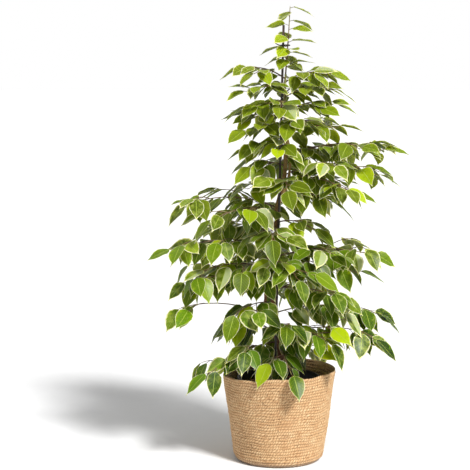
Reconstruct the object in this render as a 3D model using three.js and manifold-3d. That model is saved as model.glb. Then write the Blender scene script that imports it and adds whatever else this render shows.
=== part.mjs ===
// Variegated weeping fig, about a metre high, tied to a cane in a nursery pot that stands in a rope basket.
// Millimetres, +Z up, origin at the centre of the basket's underside, the viewer's side towards -Y.

import * as THREE from 'three';
import { mergeVertices } from 'three/addons/utils/BufferGeometryUtils.js';
import Module from 'manifold-3d';

const wasm = await Module();
wasm.setup();

const DEGREE = Math.PI / 180;
const UP = new THREE.Vector3(0, 0, 1);
const ALONG_X = new THREE.Vector3(1, 0, 0);

// Gap between pieces that touch.
const SEAT_GAP = 0.3;

// Basket: rope wound in rows, wider at the rim, with the rim pressed down at the left.
const BASKET = {
  height: 208,
  rimRadius: 127,
  footRadius: 102.5,
  footRound: 19,
  footLean: 2.2,
  wall: 6.5,
  innerRound: 16,
  rimDip: 13,
  sides: 32,
};

// Nursery pot: thin plastic with a rolled lip and drain holes.
const POT = { height: 180, rimRadius: 93, footRadius: 72, wall: 1.5, lip: 3, lipHeight: 9, sides: 20 };
const DRAIN = { count: 4, radius: 5, ring: 45, depth: 6, sides: 6, heading: 45 };

// Compost, filled to a finger's width under the pot's rim and heaped a little in the middle.
const SOIL = { top: 172, edgeDrop: 3, heapDrop: 0.5, heapShare: 0.62 };

// Woody stems: centre points from the root upwards, and the radius at each.
const LEADER = {
  points: [
    [7, 0, 128], [7.7, 0, 172], [5.5, 1, 219], [1, 2, 258], [-8, 3, 288], [-12, 3, 345], [-12, 4, 390],
    [-14, 3, 446], [-8, 2, 509], [-3, 3, 574], [8, 4, 618], [13, 4, 655], [14, 5, 696], [15, 5, 762],
    [11, 4, 811], [13, 3, 862],
  ],
  radii: [6.5, 7, 6.8, 6.6, 6.4, 5.8, 5.5, 5.2, 5.1, 5, 4.8, 4.6, 4.4, 4, 3.4, 2.6],
  sides: 6,
};
const SECOND_STEM = {
  points: [[-8, 2, 290], [-21, 1, 316], [-30, 1, 350], [-28, 1, 395], [-25, 2, 440], [-21, 2, 478], [-9, 2, 512]],
  radii: [3.9, 3.8, 3.6, 3.5, 3.4, 3.3, 3],
  sides: 4,
};
const SIDE_STEM = {
  points: [[-3, 2, 570], [7, -3, 598], [19, -5, 625], [23, -5, 660], [24, -2, 692], [15, 5, 728]],
  radii: [4, 3.8, 3.5, 3.2, 3, 2.8],
  sides: 4,
};
const KNOB = { centre: [-8, 3, 289], radii: [12, 9, 12] };

// Cane and the ties that hold the stems to it.
const CANE = { foot: [-11.4, -13.1, 60], top: [8, -3, 969], radius: 2.9, sides: 8 };
const TIE = { height: 3, thickness: 1.4, slack: 0.6, tailLength: 13, tailWidth: 1.8, sides: 12 };
const TIE_HEIGHTS = { tie_low: 438, tie_middle: 691, tie_top: 925 };

// Leafy top of the leader: its leaves stand in a spiral, a turn in degrees from one to the next.
const SHOOT = {
  points: [[13, 3, 862], [17.6, 3, 926], [20, 3, 965], [22, 2, 1006]],
  radii: [2.7, 1.4],
  bareLength: 12,
  leafSpacing: 9.5,
  spiral: 137.5,
};

// Branches, lowest last: height of the root on the leader, heading round the plant (0 = +X, 270 = towards the
// viewer, degrees), how far the twig reaches, how far its tip lies above its root, and the length of its leafless
// inner stretch where that isn't BRANCH.bareLength.
const BRANCHES = [
  [852, 176, 88, 22], [845, 345, 90, 18], [830, 198, 80, -6], [820, 55, 78, 20], [812, 338, 106, 18],
  [799, 250, 70, 2], [786, 178, 78, 5], [776, 10, 100, 20],
  [764, 165, 86, 6], [754, 300, 82, 0], [745, 194, 88, -6], [738, 55, 108, 15], [730, 348, 110, 17],
  [712, 262, 86, -10], [704, 172, 76, -6], [683, 35, 145, 15], [674, 4, 205, 20], [660, 200, 74, 0],
  [648, 88, 138, 10], [640, 352, 200, 4], [632, 325, 165, -24], [622, 275, 112, -5], [612, 150, 100, 0],
  [600, 52, 150, 8], [592, 335, 120, -6], [567, 184, 194, 12], [558, 212, 165, -5], [546, 105, 165, 0],
  [534, 315, 92, 0], [520, 260, 128, -5], [504, 148, 165, 0], [474, 32, 160, -24], [464, 190, 222, 14],
  [456, 0, 214, 10], [449, 82, 190, 0], [442, 290, 145, -10], [428, 206, 180, 5], [420, 348, 182, 6],
  [412, 130, 170, 5], [404, 194, 195, 5], [386, 318, 160, -15], [372, 62, 185, -10], [352, 225, 118, -6],
  [330, 6, 222, -8], [318, 186, 206, 34, 160], [304, 305, 150, -25], [288, 128, 152, -12], [278, 346, 214, 8],
  [266, 198, 164, -58], [252, 275, 118, -35], [242, 62, 165, -25],
];
const BRANCH = {
  segments: 3,
  arch: [0.06, 0.14],
  sway: [-0.12, 0.12],
  radii: [2.4, 1.3],
  bareLength: 24,
  leafSpacing: 37,
};

// Side twigs: one for each stretch of the branch's reach, between two shares of its length. A lone one stands
// between them at loneShare. The further out they grow, the shorter they are.
const SIDE_TWIG = {
  segments: 2,
  perReach: 82,
  shares: [0.3, 0.78],
  loneShare: 0.3,
  lengthShares: [0.52, 0.21],
  leastReach: 38,
  spread: [35, 49],
  rise: [0.25, -0.25],
  arch: 0.08,
  sway: 0.1,
  radii: [1.2, 1.2],
  bareLength: 15,
  leafSpacing: 32,
};
const BUD_LENGTH = 8;

// Height of the crown's foot and top, between which leaves get smaller and hang less.
const CROWN = { foot: 240, top: 860 };

// Leaves: an ovate blade with a drawn-out tip, folded at the midrib and arched, on a thin stalk. Angles in degrees.
const LEAF = {
  length: [53, 68],
  sizeAtFoot: 1.05,
  sizeAtTop: 0.9,
  widthShare: [0.54, 0.62],
  stalkLength: [9, 14],
  stalkRadius: 0.6,
  stalkRaise: 24,
  stalkDroop: 0.75,
  thickness: 1.6,
  fold: [0.1, 0.3],
  sag: [0.06, 0.18],
  droopAtFoot: 48,
  droopAtTop: 13,
  droopSpread: 40,
  rollSpread: 60,
  rollToLight: [20, 6],
  turnAside: [38, 66],
  endTurn: 8,
};

// Stations of a blade from its base: share of its length, share of its half width and of its thickness.
const BLADE_STATIONS = [{ along: 0.27, across: 0.97, thick: 1 }, { along: 0.62, across: 0.8, thick: 0.85 }];

// Free space kept round a twig or leaf when its place is chosen.
const CLEARANCE = 0.9;

// Ways to shift a twig or a leaf that meets something, tried in this order.
const TWIG_SHIFTS = [
  { turn: 0, lift: 0 }, { turn: 8, lift: 6 }, { turn: -8, lift: -6 }, { turn: 4, lift: 14 }, { turn: -15, lift: 4 },
  { turn: 15, lift: -10 }, { turn: 0, lift: -16 }, { turn: 24, lift: 12 }, { turn: -24, lift: 12 },
];
const LEAF_SHIFTS = [
  { droop: 0, turn: 0, size: 1 }, { droop: 18, turn: 0, size: 1 }, { droop: 0, turn: 26, size: 1 },
  { droop: 4, turn: -28, size: 1 }, { droop: -20, turn: 5, size: 1 }, { droop: 34, turn: 16, size: 1 },
  { droop: 10, turn: 40, size: 0.92 }, { droop: -8, turn: -44, size: 0.86 }, { droop: 26, turn: -20, size: 0.8 },
];

const COLOURS = {
  rope: 0xc9a878,
  potPlastic: 0x1c1b1a,
  compost: 0x33261c,
  bark: 0x7a4a2c,
  cane: 0x2a211b,
  tiePlastic: 0x151515,
  foliage: 0x6f8f38,
};

// Repeatable draw from 0 to 1 for three whole numbers.
function draw(a, b, c) {
  const wave = Math.sin(a * 127.1 + b * 311.7 + c * 74.7) * 43758.5453;
  return wave - Math.floor(wave);
}

function blend(low, high, share) {
  return low + (high - low) * share;
}

// Level direction at an angle round the plant.
function heading(degrees) {
  return new THREE.Vector3(Math.cos(degrees * DEGREE), Math.sin(degrees * DEGREE), 0);
}

// Direction at an angle round the plant, raised by an angle above the level.
function raised(degrees, elevation) {
  return heading(degrees).multiplyScalar(Math.cos(elevation * DEGREE)).setZ(Math.sin(elevation * DEGREE));
}

function vectors(points) {
  return points.map(point => new THREE.Vector3(...point));
}

// Solid body of a closed geometry.
function solidOf(geometry) {
  const bare = geometry.clone();
  bare.deleteAttribute('normal');
  bare.deleteAttribute('uv');
  const merged = mergeVertices(bare, 1e-4);
  const vertProperties = new Float32Array(merged.attributes.position.array);
  const triVerts = new Uint32Array(merged.index.array);
  return new wasm.Manifold(new wasm.Mesh({ numProp: 3, vertProperties, triVerts }));
}

function geometryOf(solid) {
  const mesh = solid.getMesh();
  const geometry = new THREE.BufferGeometry();
  geometry.setAttribute('position', new THREE.BufferAttribute(new Float32Array(mesh.vertProperties), 3));
  geometry.setIndex(new THREE.BufferAttribute(new Uint32Array(mesh.triVerts), 1));
  return geometry;
}

// Closed skin over a row of rings that all have the same number of points. A ring may repeat a point, and a ring
// of one repeated point is a tip. Each ring runs clockwise as seen by someone who looks along the row.
function skin(rings) {
  const corners = [];
  const numbers = rings.map(ring => ring.map(point => {
    const known = corners.indexOf(point);
    return known >= 0 ? known : corners.push(point) - 1;
  }));
  const triangles = [];
  const face = (a, b, c) => {
    if (a !== b && b !== c && c !== a) triangles.push(a, b, c);
  };
  const sides = rings[0].length;
  for (let ring = 0; ring + 1 < rings.length; ring++) {
    for (let side = 0; side < sides; side++) {
      const next = (side + 1) % sides;
      const [near, far] = [numbers[ring], numbers[ring + 1]];
      face(near[side], far[side], far[next]);
      face(near[side], far[next], near[next]);
    }
  }
  const [first, last] = [numbers[0], numbers[numbers.length - 1]];
  for (let side = 1; side + 1 < sides; side++) {
    face(first[0], first[side], first[side + 1]);
    face(last[0], last[side + 1], last[side]);
  }
  const geometry = new THREE.BufferGeometry();
  const positions = new Float32Array(corners.flatMap(corner => corner.toArray()));
  geometry.setAttribute('position', new THREE.BufferAttribute(positions, 3));
  geometry.setIndex(triangles);
  return geometry;
}

// Tapered limb: a polygon carried along a row of points, with a radius at each.
function limb(points, radii, sides, reference) {
  const rings = points.map((point, index) => {
    const before = points[Math.max(index - 1, 0)];
    const after = points[Math.min(index + 1, points.length - 1)];
    const along = after.clone().sub(before).normalize();
    const across = reference.clone().cross(along).normalize();
    const over = along.clone().cross(across);
    return Array.from({ length: sides }, (_, side) => {
      const angle = -2 * Math.PI * side / sides;
      return point.clone()
        .addScaledVector(across, radii[index] * Math.cos(angle))
        .addScaledVector(over, radii[index] * Math.sin(angle));
    });
  });
  return skin(rings);
}

function stemSolid(stem, extra = 0) {
  const radii = stem.radii.map(radius => radius + extra);
  return solidOf(limb(vectors(stem.points), radii, stem.sides, ALONG_X));
}

// Centre of a stem at a height.
function stemCentre(stem, height) {
  const points = vectors(stem.points);
  const index = points.findIndex((point, i) => i > 0 && point.z >= height);
  const [low, high] = [points[index - 1], points[index]];
  return low.clone().lerp(high, (height - low.z) / (high.z - low.z));
}

function stemRadius(stem, height) {
  const index = stem.points.findIndex((point, i) => i > 0 && point[2] >= height);
  const share = (height - stem.points[index - 1][2]) / (stem.points[index][2] - stem.points[index - 1][2]);
  return blend(stem.radii[index - 1], stem.radii[index], share);
}

// Height of the basket's rim at an angle round it: level, but pressed down towards the left.
function rimHeight(angle) {
  return BASKET.height - BASKET.rimDip * ((1 - Math.cos(angle)) / 2) ** 3;
}

function basketRadius(height) {
  return blend(BASKET.footRadius, BASKET.rimRadius, height / BASKET.height);
}

function basketGeometry() {
  const { height, wall, footRound, footLean, footRadius, innerRound, sides } = BASKET;
  const outline = [new THREE.Vector2(0, 0), new THREE.Vector2(footRadius - footRound, 0)];
  for (const angle of [-60, -30, 0]) {
    const risen = 1 + Math.sin(angle * DEGREE);
    const out = footRadius - footRound + footRound * Math.cos(angle * DEGREE) + footLean * risen;
    outline.push(new THREE.Vector2(out, footRound * risen));
  }
  outline.push(new THREE.Vector2(basketRadius(height / 2), height / 2));
  outline.push(new THREE.Vector2(basketRadius(height - wall / 2), height - wall / 2));
  outline.push(new THREE.Vector2(basketRadius(height) - wall / 2, height));
  outline.push(new THREE.Vector2(basketRadius(height - wall / 2) - wall, height - wall / 2));
  outline.push(new THREE.Vector2(basketRadius(wall + innerRound) - wall, wall + innerRound));
  outline.push(new THREE.Vector2(footRadius - footRound, wall));
  outline.push(new THREE.Vector2(0, wall));
  const geometry = new THREE.LatheGeometry(outline, sides);
  geometry.rotateX(Math.PI / 2);
  const place = geometry.attributes.position;
  for (let i = 0; i < place.count; i++) {
    const rim = rimHeight(Math.atan2(place.getY(i), place.getX(i)));
    const share = place.getZ(i) / height;
    place.setZ(i, place.getZ(i) + (rim - height) * share ** 2);
  }
  return geometry;
}

// Cone-shaped wall of a pot: its outer radius at a height above its own foot.
function potRadius(height) {
  return blend(POT.footRadius, POT.rimRadius - POT.lip, height / POT.height);
}

function potInnerRadius(height) {
  const share = (height - POT.wall) / (POT.height - POT.wall);
  return blend(POT.footRadius, potRadius(POT.height), share) - POT.wall;
}

function potGeometry() {
  const { height, wall, lipHeight, rimRadius, footRadius, sides } = POT;
  const outline = [
    new THREE.Vector2(0, 0),
    new THREE.Vector2(footRadius, 0),
    new THREE.Vector2(potRadius(height - lipHeight), height - lipHeight),
    new THREE.Vector2(rimRadius, height - lipHeight),
    new THREE.Vector2(rimRadius, height),
    new THREE.Vector2(potInnerRadius(height), height),
    new THREE.Vector2(potInnerRadius(wall), wall),
    new THREE.Vector2(0, wall),
  ];
  const wallGeometry = new THREE.LatheGeometry(outline, sides);
  wallGeometry.rotateX(Math.PI / 2);
  let pot = solidOf(wallGeometry);
  for (let hole = 0; hole < DRAIN.count; hole++) {
    const drill = new THREE.CylinderGeometry(DRAIN.radius, DRAIN.radius, DRAIN.depth, DRAIN.sides);
    drill.rotateX(Math.PI / 2);
    const place = heading(DRAIN.heading + 360 * hole / DRAIN.count).multiplyScalar(DRAIN.ring);
    drill.translate(place.x, place.y, wall / 2);
    pot = pot.subtract(solidOf(drill));
  }
  return geometryOf(pot);
}

const potFoot = BASKET.wall + SEAT_GAP;

function caneSolid(extra) {
  const [foot, top] = vectors([CANE.foot, CANE.top]);
  const along = top.clone().sub(foot);
  const length = along.length() + 2 * extra;
  const cane = new THREE.CylinderGeometry(CANE.radius + extra, CANE.radius + extra, length, CANE.sides);
  cane.applyQuaternion(new THREE.Quaternion().setFromUnitVectors(new THREE.Vector3(0, 1, 0), along.normalize()));
  const middle = foot.clone().add(top).multiplyScalar(0.5);
  cane.translate(middle.x, middle.y, middle.z);
  return solidOf(cane);
}

// Compost: fills the pot, with plain holes for the trunk and the cane.
function soilGeometry() {
  const { top, edgeDrop, heapDrop, heapShare } = SOIL;
  const foot = potFoot + POT.wall + SEAT_GAP;
  const inner = height => potInnerRadius(height - potFoot) - SEAT_GAP;
  const outline = [
    new THREE.Vector2(0, foot),
    new THREE.Vector2(inner(foot), foot),
    new THREE.Vector2(inner(top - edgeDrop), top - edgeDrop),
    new THREE.Vector2(inner(top) * heapShare, top - heapDrop),
    new THREE.Vector2(0, top),
  ];
  const fill = new THREE.LatheGeometry(outline, POT.sides);
  fill.rotateX(Math.PI / 2);
  return geometryOf(solidOf(fill).subtract(stemSolid(LEADER, SEAT_GAP)).subtract(caneSolid(SEAT_GAP)));
}

// Swelling where the second stem leaves the leader.
function knobSolid(extra) {
  const knob = new THREE.IcosahedronGeometry(1, 1);
  knob.scale(...KNOB.radii.map(radius => radius + extra));
  knob.translate(...KNOB.centre);
  return solidOf(knob);
}

// The stems in one, as they are or thicker all round.
function trunkSolid(extra = 0) {
  return stemSolid(LEADER, extra)
    .add(stemSolid(SECOND_STEM, extra))
    .add(stemSolid(SIDE_STEM, extra))
    .add(knobSolid(extra));
}

// Outline of a band pulled tight round a few circles.
function beltOutline(circles, offset) {
  return Array.from({ length: TIE.sides }, (_, index) => {
    const angle = 2 * Math.PI * index / TIE.sides;
    const out = new THREE.Vector2(Math.cos(angle), Math.sin(angle));
    const reach = circle => circle.centre.dot(out) + circle.radius;
    const widest = circles.reduce((best, circle) => (reach(circle) > reach(best) ? circle : best));
    return widest.centre.clone().addScaledVector(out, widest.radius + offset);
  });
}

// A tie: a tight band round the cane and the stems beside it, with a cut tail at its left.
function tieGeometry(height) {
  const [foot, top] = vectors([CANE.foot, CANE.top]);
  const cane = foot.lerp(top, (height - CANE.foot[2]) / (CANE.top[2] - CANE.foot[2]));
  const circles = [{ centre: new THREE.Vector2(cane.x, cane.y), radius: CANE.radius }];
  const shoot = { points: SHOOT.points, radii: SHOOT.points.map(() => SHOOT.radii[0]) };
  for (const stem of [LEADER, SECOND_STEM, SIDE_STEM, shoot]) {
    const [low, high] = [stem.points[0][2], stem.points[stem.points.length - 1][2]];
    if (height <= low || height >= high) continue;
    const centre = stemCentre(stem, height);
    circles.push({ centre: new THREE.Vector2(centre.x, centre.y), radius: stemRadius(stem, height) });
  }
  const band = new THREE.Shape(beltOutline(circles, TIE.slack + TIE.thickness));
  band.holes.push(new THREE.Path(beltOutline(circles, TIE.slack)));
  const ring = new THREE.ExtrudeGeometry(band, { depth: TIE.height, bevelEnabled: false });
  ring.translate(0, 0, height - TIE.height / 2);
  const reach = circle => circle.radius - circle.centre.x;
  const leftmost = circles.reduce((best, circle) => (reach(circle) > reach(best) ? circle : best));
  const tail = new THREE.BoxGeometry(TIE.tailLength, TIE.tailWidth, TIE.tailWidth);
  const sunk = -reach(leftmost) - TIE.slack - TIE.thickness / 2;
  tail.translate(sunk - TIE.tailLength / 2, leftmost.centre.y, height);
  return geometryOf(solidOf(ring).add(solidOf(tail)));
}

// Row of points of a twig: out along its heading, rising by an arch and swinging a little to one side.
function twigPoints(root, angle, reach, rise, arch, sway, segments) {
  const out = heading(angle);
  const aside = heading(angle + 90);
  return Array.from({ length: segments + 1 }, (_, index) => {
    const share = index / segments;
    return root.clone()
      .addScaledVector(out, reach * share)
      .addScaledVector(aside, reach * sway * share * share)
      .addScaledVector(UP, rise * share + 4 * arch * reach * share * (1 - share));
  });
}

// A twig: its points, the radius at each, the steps between them and the tip of its bud.
function makeTwig(points, [rootRadius, tipRadius], reference) {
  const last = points[points.length - 1];
  const along = last.clone().sub(points[points.length - 2]).normalize();
  const steps = points.slice(1).map((point, index) => point.distanceTo(points[index]));
  return {
    points,
    steps,
    length: steps.reduce((sum, step) => sum + step, 0),
    tip: last.clone().addScaledVector(along, BUD_LENGTH),
    radii: points.map((_, index) => blend(rootRadius, tipRadius, index / (points.length - 1))),
    reference,
    endLeaf: null,
  };
}

// Three corners round a twig or a stalk, the left one repeated, so that they join the four corners of a blade.
function cornersRound(centre, across, over, radius) {
  const corner = (aside, above) => centre.clone()
    .addScaledVector(across, aside * radius)
    .addScaledVector(over, above * radius);
  const [wide, high] = [Math.cos(30 * DEGREE), Math.sin(30 * DEGREE)];
  const left = corner(wide, high);
  return [left, corner(0, -1), corner(-wide, high), left];
}

function twigRings(twig, extra) {
  return twig.points.map((point, index) => {
    const before = twig.points[Math.max(index - 1, 0)];
    const after = twig.points[Math.min(index + 1, twig.points.length - 1)];
    const along = after.clone().sub(before).normalize();
    const across = twig.reference.clone().cross(along).normalize();
    return cornersRound(point, across, along.clone().cross(across), twig.radii[index] + extra);
  });
}

// A twig that runs out into the leaf at its end, or into a bud where it has none.
function twigSolid(twig, extra = 0) {
  const end = twig.endLeaf ? leafRings(twig.endLeaf, extra) : [Array(4).fill(twig.tip)];
  return solidOf(skin([...twigRings(twig, extra), ...end]));
}

// Point and direction at a distance along a twig.
function alongTwig(twig, distance) {
  let index = 0;
  let rest = distance;
  while (index + 1 < twig.steps.length && rest > twig.steps[index]) {
    rest -= twig.steps[index];
    index += 1;
  }
  const along = twig.points[index + 1].clone().sub(twig.points[index]).normalize();
  return { point: twig.points[index].clone().addScaledVector(along, rest), along };
}

function angleOf(direction) {
  return Math.atan2(direction.y, direction.x) / DEGREE;
}

function branchTwig(spray, shift) {
  const [height, angle, reach, rise] = BRANCHES[spray];
  const sway = blend(...BRANCH.sway, draw(spray, 1, 1));
  const arch = blend(...BRANCH.arch, draw(spray, 1, 2));
  const root = stemCentre(LEADER, height);
  const points = twigPoints(root, angle + shift.turn, reach, rise + shift.lift, arch, sway, BRANCH.segments);
  return makeTwig(points, BRANCH.radii, UP);
}

function bareLength(spray) {
  return BRANCHES[spray][4] ?? BRANCH.bareLength;
}

function sideTwigCount(spray) {
  const leafy = BRANCHES[spray][2] - bareLength(spray) + BRANCH.bareLength;
  return Math.max(1, Math.round(leafy / SIDE_TWIG.perReach));
}

// Side twigs leave a branch left and right in turn.
function sideTwig(spray, branch, number, shift) {
  const count = sideTwigCount(spray);
  const [low, high] = SIDE_TWIG.shares;
  const first = Math.max(low, bareLength(spray) / branch.length);
  const share = blend(first, high, count === 1 ? SIDE_TWIG.loneShare : number / (count - 1));
  const start = alongTwig(branch, branch.length * share);
  const side = (number + spray) % 2 === 0 ? 1 : -1;
  const aside = blend(...SIDE_TWIG.spread, draw(spray, number, 3)) + shift.turn;
  const reach = Math.max(SIDE_TWIG.leastReach, branch.length * blend(...SIDE_TWIG.lengthShares, share));
  const rise = reach * blend(...SIDE_TWIG.rise, draw(spray, number, 4)) + shift.lift;
  const { arch, sway, segments, radii } = SIDE_TWIG;
  const points = twigPoints(start.point, angleOf(start.along) + side * aside, reach, rise, arch, side * sway, segments);
  return makeTwig(points, radii, UP);
}

// Share of the crown's height that a point has, from 0 at its foot to 1 at its top.
function crownShare(height) {
  return THREE.MathUtils.clamp((height - CROWN.foot) / (CROWN.top - CROWN.foot), 0, 1);
}

// A leaf's frame and sizes. It grows at a distance along the twig and turns aside from it, and leaves that point
// sideways show the viewer's side, where the light comes from, more of their upper face.
function makeLeaf(twig, { distance, turn, number }, spray, host, shift) {
  const { point, along } = alongTwig(twig, distance);
  const high = crownShare(point.z);
  const angle = angleOf(along) + turn + shift.turn * (turn < 0 ? -1 : 1);
  const spread = LEAF.droopSpread * (draw(spray, host, 10 + number) - 0.5);
  const droop = blend(LEAF.droopAtFoot, LEAF.droopAtTop, high) + spread + shift.droop;
  const size = blend(LEAF.sizeAtFoot, LEAF.sizeAtTop, high) * shift.size;
  const length = blend(...LEAF.length, draw(spray, host, 30 + number)) * size;
  const stalkLength = blend(...LEAF.stalkLength, draw(spray, host, 50 + number));
  const stalk = raised(angle, LEAF.stalkRaise - LEAF.stalkDroop * droop);
  const base = point.clone().addScaledVector(stalk, stalkLength);
  const out = raised(angle, -droop);
  const sideways = blend(...LEAF.rollToLight, high) * Math.cos(angle * DEGREE);
  const roll = (LEAF.rollSpread * (draw(spray, host, 70 + number) - 0.5) + sideways) * DEGREE;
  const level = heading(angle + 90);
  const face = out.clone().cross(level);
  const across = level.clone().multiplyScalar(Math.cos(roll)).addScaledVector(face, Math.sin(roll));
  const sag = blend(...LEAF.sag, draw(spray, host, 90 + number));
  return {
    root: point,
    base,
    out,
    across,
    face: out.clone().cross(across),
    length,
    halfWidth: length * blend(...LEAF.widthShare, draw(spray, host, 110 + number)) / 2,
    fold: blend(...LEAF.fold, draw(spray, host, 130 + number)),
    sag,
  };
}

// Point of a blade: along its arched midrib, out across it and up by the fold, and above or below its middle.
function bladePoint(leaf, along, across, above) {
  return leaf.base.clone()
    .addScaledVector(leaf.out, leaf.length * along)
    .addScaledVector(leaf.across, across)
    .addScaledVector(leaf.face, above + Math.abs(across) * leaf.fold - leaf.length * leaf.sag * along * along);
}

// Rings of a leaf: round the end of its stalk, across its blade at each station, and its tip.
function leafRings(leaf, extra) {
  const across = BLADE_STATIONS.map(station => {
    const half = leaf.halfWidth * station.across + extra;
    const over = LEAF.thickness * station.thick / 2 + extra;
    return [
      bladePoint(leaf, station.along, half, 0),
      bladePoint(leaf, station.along, 0, -over),
      bladePoint(leaf, station.along, -half, 0),
      bladePoint(leaf, station.along, 0, over),
    ];
  });
  const base = cornersRound(leaf.base, leaf.across, leaf.face, LEAF.stalkRadius + extra);
  const tip = bladePoint(leaf, 1 + extra / leaf.length, 0, 0);
  return [base, ...across, Array(4).fill(tip)];
}

// A blade alone, or with the stalk whose end is sunk in the twig.
function leafSolid(leaf, extra = 0, withStalk = true) {
  const rings = leafRings(leaf, extra);
  if (withStalk) rings.unshift(cornersRound(leaf.root, leaf.across, leaf.face, LEAF.stalkRadius + extra));
  return solidOf(skin(rings));
}

// Everything placed so far, with the spray that it belongs to.
const placed = [];

function place(solid, owner) {
  placed.push({ solid, owner, box: solid.boundingBox() });
}

function boxesMeet(a, b) {
  return [0, 1, 2].every(axis => a.min[axis] <= b.max[axis] && b.min[axis] <= a.max[axis]);
}

// True where a solid is clear of everything placed that the filter lets through.
function isClear(solid, filter) {
  const box = solid.boundingBox();
  return placed.every(other => {
    if (!filter(other) || !boxesMeet(box, other.box)) return true;
    const common = solid.intersect(other.solid);
    const apart = common.isEmpty();
    common.delete();
    return apart;
  });
}

const trunk = trunkSolid();

// What a branch is cut back to where it meets a stem.
const roomOfTrunk = trunkSolid(SEAT_GAP);

const group = new THREE.Group();

function addMesh(name, geometry, color, roughness) {
  const mesh = new THREE.Mesh(geometry, new THREE.MeshStandardMaterial({ color, roughness, metalness: 0 }));
  mesh.name = name;
  group.add(mesh);
}

addMesh('basket', basketGeometry(), COLOURS.rope, 0.9);
const pot = potGeometry();
pot.translate(0, 0, potFoot);
addMesh('nursery_pot', pot, COLOURS.potPlastic, 0.45);
addMesh('soil', soilGeometry(), COLOURS.compost, 1);
addMesh('trunk', geometryOf(trunk), COLOURS.bark, 0.75);
addMesh('stake', geometryOf(caneSolid(0)), COLOURS.cane, 0.6);
for (const [name, height] of Object.entries(TIE_HEIGHTS)) {
  addMesh(name, tieGeometry(height), COLOURS.tiePlastic, 0.4);
}
for (const mesh of group.children) {
  place(solidOf(mesh.geometry), mesh.name);
}

// Twigs first, so that leaves find their place among all of them.
const sprays = [];

// The shoot stands a seat gap above the end of the leader.
const shootPoints = vectors(SHOOT.points);
shootPoints[0].z += SEAT_GAP;
const shootTwig = makeTwig(shootPoints, SHOOT.radii, ALONG_X);
sprays.push({ name: 'leader_shoot', seed: 99, twigs: [shootTwig], isShoot: true });
place(twigSolid(shootTwig), 'leader_shoot');

// First way of shifting a twig that keeps it clear of what other sprays have placed, or none.
function settleTwig(make, owner) {
  for (const shift of TWIG_SHIFTS) {
    const twig = make(shift);
    const test = twigSolid(twig, CLEARANCE);
    const free = isClear(test, other => other.owner !== owner && other.owner !== 'trunk');
    test.delete();
    if (free) {
      place(twigSolid(twig), owner);
      return twig;
    }
  }
  return null;
}

BRANCHES.forEach((_, seed) => {
  const name = `spray_${String(seed + 1).padStart(2, '0')}`;
  const branch = settleTwig(shift => branchTwig(seed, shift), name);
  sprays.push({ name, seed, twigs: branch ? [branch] : [] });
});

for (const spray of sprays) {
  if (spray.isShoot || spray.twigs.length === 0) continue;
  for (let number = 0; number < sideTwigCount(spray.seed); number++) {
    const twig = settleTwig(shift => sideTwig(spray.seed, spray.twigs[0], number, shift), spray.name);
    if (twig) spray.twigs.push(twig);
  }
}

// Places of the leaves on a twig, from its end inwards: distance along it and the turn away from its heading.
// They stand left and right in turn on a twig, and in a spiral on the leader.
function leafPlaces(spray, host) {
  const twig = spray.twigs[host];
  const kind = spray.isShoot ? SHOOT : host === 0 ? BRANCH : SIDE_TWIG;
  const bare = kind === BRANCH ? bareLength(spray.seed) : kind.bareLength;
  const places = [];
  for (let number = 0; twig.length - number * kind.leafSpacing > bare; number++) {
    const side = number % 2 === 0 ? 1 : -1;
    const inner = blend(...LEAF.turnAside, draw(spray.seed, host, 150 + number));
    const aside = side * (number === 0 ? LEAF.endTurn : inner);
    const turn = spray.isShoot ? SHOOT.spiral * number : aside;
    places.push({ distance: twig.length - number * kind.leafSpacing, turn, number });
  }
  return places;
}

// First way of shifting a leaf that keeps it clear of every other piece, or none.
function settleLeaf(spray, host, spot) {
  for (const shift of LEAF_SHIFTS) {
    const leaf = makeLeaf(spray.twigs[host], spot, spray.seed, host, shift);
    const whole = leafSolid(leaf, CLEARANCE);
    const blade = leafSolid(leaf, CLEARANCE, false);
    const free = isClear(whole, other => other.owner !== spray.name) &&
      isClear(blade, other => other.owner === spray.name);
    whole.delete();
    blade.delete();
    if (free) {
      place(leafSolid(leaf), spray.name);
      return leaf;
    }
  }
  return null;
}

for (const spray of sprays) {
  spray.leaves = [];
  spray.twigs.forEach((twig, host) => {
    for (const spot of leafPlaces(spray, host)) {
      const leaf = settleLeaf(spray, host, spot);
      if (leaf && spot.number === 0) twig.endLeaf = leaf;
      else if (leaf) spray.leaves.push(leaf);
    }
  });
}

// One body from a spray's twigs and leaves, cut back to the trunk; a scrap that this leaves loose is dropped.
function sprayGeometry(spray) {
  const parts = [...spray.twigs.map(twig => twigSolid(twig)), ...spray.leaves.map(leaf => leafSolid(leaf))];
  const whole = parts.reduce((sum, part) => sum.add(part));
  const pieces = whole.subtract(roomOfTrunk).decompose();
  const largest = pieces.reduce((best, piece) => (piece.volume() > best.volume() ? piece : best));
  return geometryOf(largest);
}

for (const spray of sprays) {
  if (spray.twigs.length > 0) addMesh(spray.name, sprayGeometry(spray), COLOURS.foliage, 0.4);
}

export default group;
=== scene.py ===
# Weeping fig with cream-edged leaves, about a metre high, in a rope basket: the finished surfaces round the
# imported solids. Shapes are worked out in millimetres and stored in metres.
import math

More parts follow.
